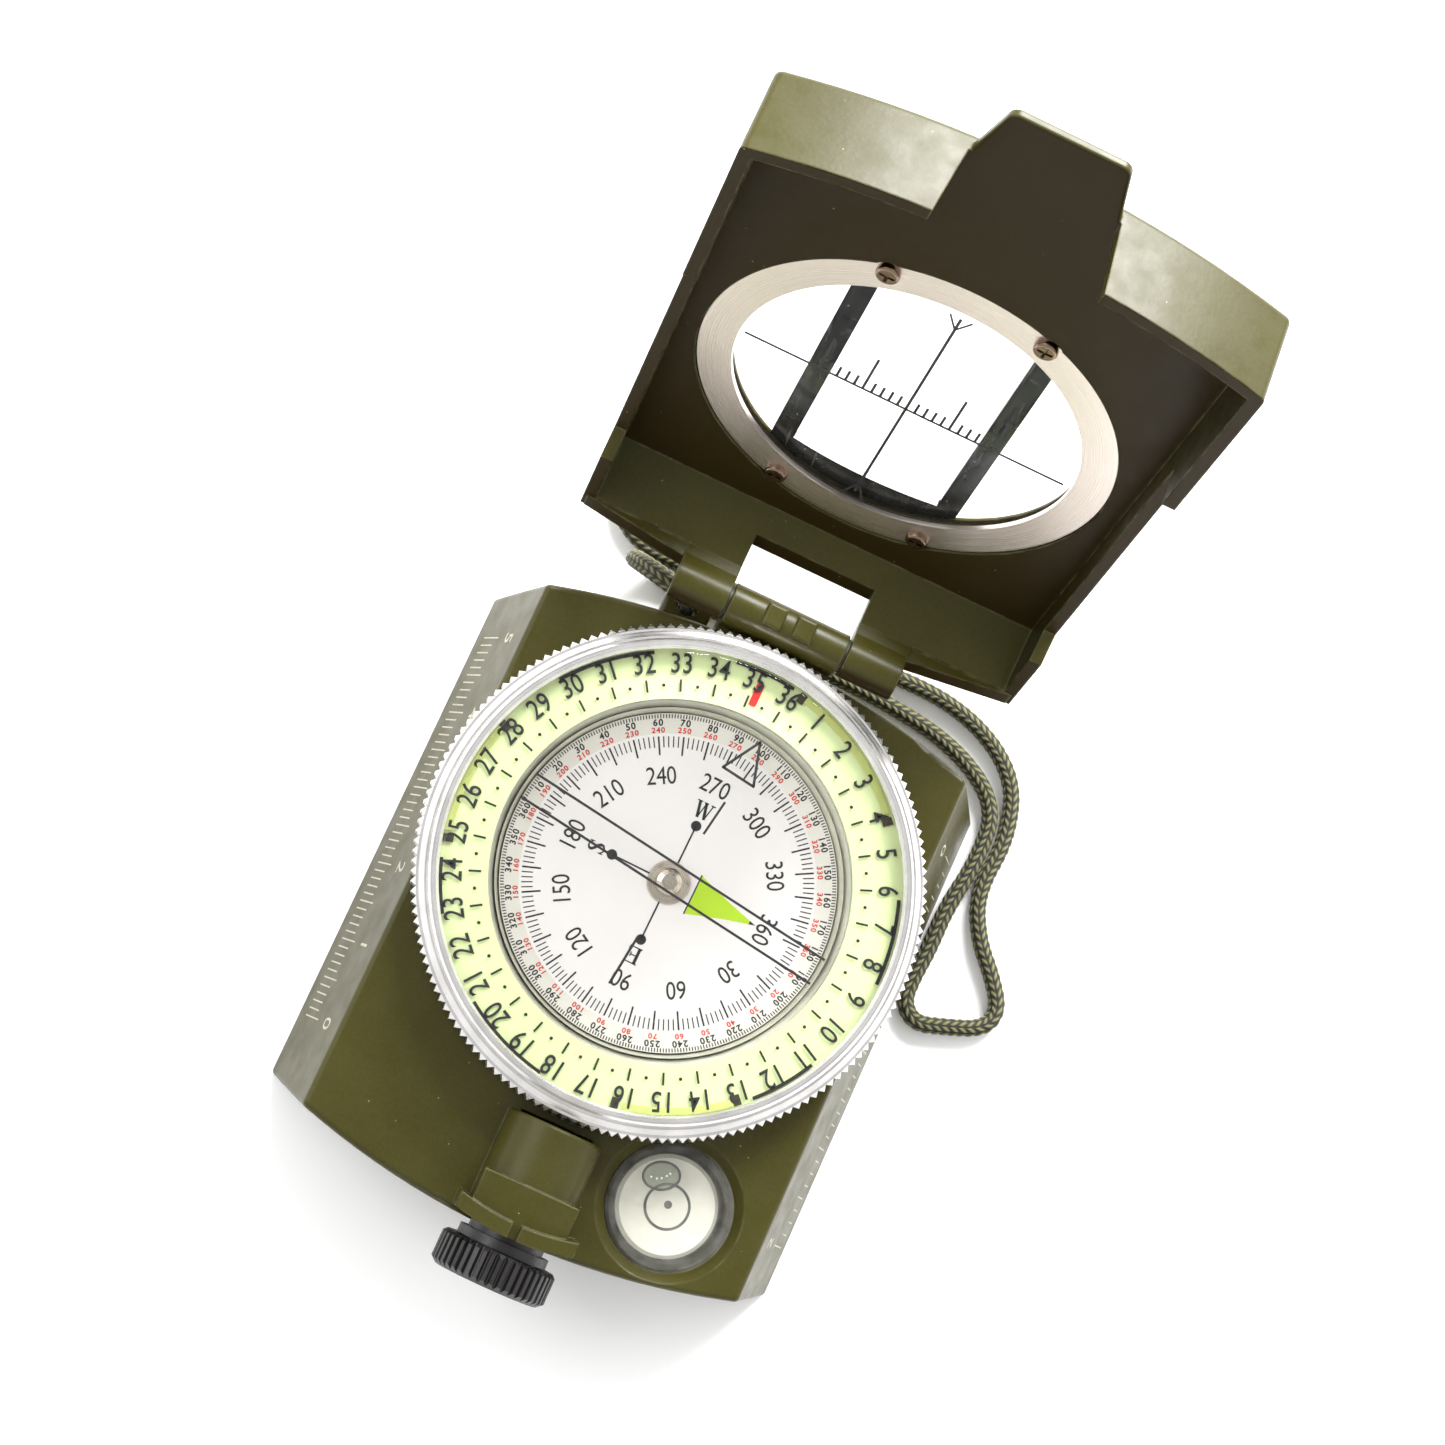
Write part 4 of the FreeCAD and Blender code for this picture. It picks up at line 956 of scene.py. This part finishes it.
def dress_frame():
    """The finishes of the CAD pieces. The cord and its knots are drawn by lanyard instead."""
    dress(olive_paint("olive_paint"), "body_housing", "base_plate")
    tilt = math.radians(LID_OPEN)
    # the cover's inner faces are painted darker and browner: painted shade
    dress(olive_paint("olive_cover", (0, -math.sin(tilt), -math.cos(tilt))), "lid_shell")
    dress(metal("bezel_aluminium", (0.96, 0.94, 0.92, 1), 0.26), "bezel_ring")
    # the ring's pinkish tint is a painted reflection on the aluminium
    dress(brushed("brushed_ring", (0.84, 0.75, 0.69, 1), 0.30), "window_ring")
    dress(metal("bronzed", (0.24, 0.17, 0.12, 1), 0.20), "window_screws")
    dress(metal("steel", (0.62, 0.60, 0.57, 1), 0.28), "base_screws", "bezel_snap_ring",
          "pivot_needle")
    dress(metal("dark_steel", (0.25, 0.24, 0.22, 1), 0.35), "hinge_pin")
    # the hinge washers are painted near black as the shade in the gaps between the knuckles
    dress(plain("washer_gap_shade", (0.022, 0.020, 0.008, 1), 0.55), "hinge_washers")
    dress(metal("brass", (0.72, 0.53, 0.24, 1), 0.32), "tripod_insert", "pivot_post")
    dress(metal("hub_metal", (0.70, 0.63, 0.54, 1), 0.24, 0.25), "dial_hub")
    dress(metal("magnet", (0.20, 0.20, 0.20, 1), 0.45), "dial_magnet")
    dress(plain("bowl_plastic", (0.72, 0.72, 0.62, 1), 0.45), "capsule_bowl")
    dress(plain("silicone", (0.60, 0.60, 0.52, 1), 0.6), "capsule_gasket")
    dress(plain("luminous", (0.67, 0.78, 0.40, 1), 0.55, 0.5, 0.01), "luminous_ring")
    dress(plain("red_mark", (0.62, 0.02, 0.015, 1), 0.45), "index_mark")
    dress(plain("card_face", (0.92, 0.89, 0.89, 1), 0.5, 0.6, 0.01), "dial_card")
    dress(plain("card_rim", (0.80, 0.78, 0.72, 1), 0.5, 0.6, 0.03), "dial_rim")
    dress(plain("jewel", (0.35, 0.02, 0.04, 1), 0.1), "jewel_bearing")
    dress(plain("black_plastic", (0.0075, 0.0065, 0.0065, 1), 0.36, 0.3, 0.2, 0.008),
          "focus_ring", "eyepiece_tube", "lens_cell")
    dress(dusty_gloss(), "sight_frame")
    dress(plain("white_plastic", (0.80, 0.76, 0.71, 1), 0.4, 0.6, 0.02), "level_target")
    dress(clear("clear_crystal", 1.28, (0.995, 0.995, 0.99, 1)), "bezel_crystal",
          "capsule_glass")
    dress(clear("clear_window", 1.22, (0.99, 0.995, 0.99, 1)), "window_glass")
    dress(hazy("clear_acrylic", (0.97, 0.98, 0.96, 1), (0.75, 0.74, 0.68, 1)), "level_vial")
    dress(solid_glass("clear_glass", (0.95, 0.97, 0.96, 1), 1.5, 0.02), "field_lens",
          "eye_lens", "reading_prism")


# ---------------------------------------------------------------- studio
def cosine(degrees):
    return math.cos(math.radians(degrees))


def white_room(world):
    """A white sky: brighter to the rear, dim overhead, with one soft bright patch."""
    world.use_nodes = True
    tree = world.node_tree
    place = tree.nodes.new("ShaderNodeTexCoord").outputs["Generated"]

    def share(direction, low, high, start, end):
        """A value that changes with the angle from one direction of the sky."""
        dot = tree.nodes.new("ShaderNodeVectorMath")
        dot.operation = "DOT_PRODUCT"
        dot.inputs[1].default_value = Vector(direction).normalized()
        tree.links.new(place, dot.inputs[0])
        ramp = tree.nodes.new("ShaderNodeMapRange")
        ramp.interpolation_type = "SMOOTHSTEP"
        for name, value in zip(("From Min", "From Max", "To Min", "To Max"),
                               (low, high, start, end)):
            ramp.inputs[name].default_value = value
        tree.links.new(dot.outputs["Value"], ramp.inputs["Value"])
        return ramp.outputs["Result"]

    rear = share((0.0, 1.0, 0.15), -1.0, 0.8, 0.90, 1.45)
    overhead = share((0.06, 0.08, 1.0), cosine(32), cosine(12), 1.0, 0.42)
    patch = share((-0.68, 0.12, 0.70), cosine(21), cosine(11), 0.0, 3.0)
    strength = tree.nodes.new("ShaderNodeMath")
    strength.operation = "MULTIPLY_ADD"
    for socket, value in zip(strength.inputs, (rear, overhead, patch)):
        tree.links.new(value, socket)
    tree.links.new(strength.outputs["Value"], tree.nodes["Background"].inputs["Strength"])
    tree.nodes["Background"].inputs["Color"].default_value = (1.0, 1.0, 1.0, 1)


def studio():
    """The room, one soft lamp behind the compass, the paper under it, and the camera."""
    scene = bpy.context.scene
    scene.view_settings.view_transform = "Standard"
    scene.world = bpy.data.worlds.new("studio")
    white_room(scene.world)

    lamp = bpy.data.lights.new("rear_softbox", "AREA")
    lamp.shape = "RECTANGLE"
    lamp.size = 0.45
    lamp.size_y = 0.30
    lamp.energy = 18.0
    light = bpy.data.objects.new("rear_softbox", lamp)
    aim = Vector((0.0, 0.045, 0.07))
    distance = 0.7
    light.location = aim + Vector((0.07, 0.86, 0.50)).normalized() * distance
    light.rotation_euler = (light.location - aim).to_track_quat("Z", "Y").to_euler()
    scene.collection.objects.link(light)

    floor_mesh = bpy.data.meshes.new("floor")
    half = 3.0
    corners = [(-half, -half, 0), (half, -half, 0), (half, half, 0), (-half, half, 0)]
    floor_mesh.from_pydata(corners, [], [(0, 1, 2, 3)])
    floor_mesh.materials.append(plain("paper", (0.97, 0.97, 0.97, 1), 0.8, 20, 0.01, 0.0))
    floor = bpy.data.objects.new("floor", floor_mesh)
    scene.collection.objects.link(floor)

    lens = bpy.data.cameras.new("camera")
    lens.lens = 72.066
    lens.sensor_width = 36.0
    lens.clip_start = 0.01
    camera = bpy.data.objects.new("camera", lens)
    camera.location = Vector((-25.10, -32.53, 351.29)) * MM
    camera.rotation_euler = [math.radians(value) for value in (6.4447, -7.2728, 24.4380)]
    scene.collection.objects.link(camera)
    scene.camera = camera


studio()
dress_frame()
BLACK_INK = plain("black_ink", (0.012, 0.012, 0.012, 1), 0.5, 0.3, 0.3, 0.0)
RED_INK = plain("red_ink", (0.55, 0.03, 0.03, 1), 0.5, 0.3, 0.2, 0.0)
bezel_print(BLACK_INK, plain("brown_ink", (0.035, 0.028, 0.012, 1), 0.5),
            plain("olive_ink", (0.52, 0.58, 0.18, 1), 0.5, 0.3, 0.05))
card_print(BLACK_INK, plain("green_ink", (0.49, 0.76, 0.02, 1), 0.5, 0.3, 0.05))
rim_print(BLACK_INK, RED_INK)
# the last colour is the pale band painted over the shaded gap round the card: painted light
case_print(BLACK_INK, worn_ink("white_ink", (0.40, 0.38, 0.28, 1), (0.10, 0.09, 0.03, 1)),
           plain("painted_gap_light", (0.62, 0.62, 0.52, 1), 0.5))
reticle(BLACK_INK)
# the bubble's black edge and grey film are painted shade, its white dots painted glints
level_bubble(plain("bubble_edge_shade", (0.05, 0.05, 0.045, 1), 0.3),
             hazy("bubble_film_shade", (0.9, 0.92, 0.88, 1), (0.25, 0.27, 0.23, 1), 0.22, 0.30),
             plain("bubble_glint", (0.95, 0.95, 0.95, 1), 0.3))
lanyard(braided())
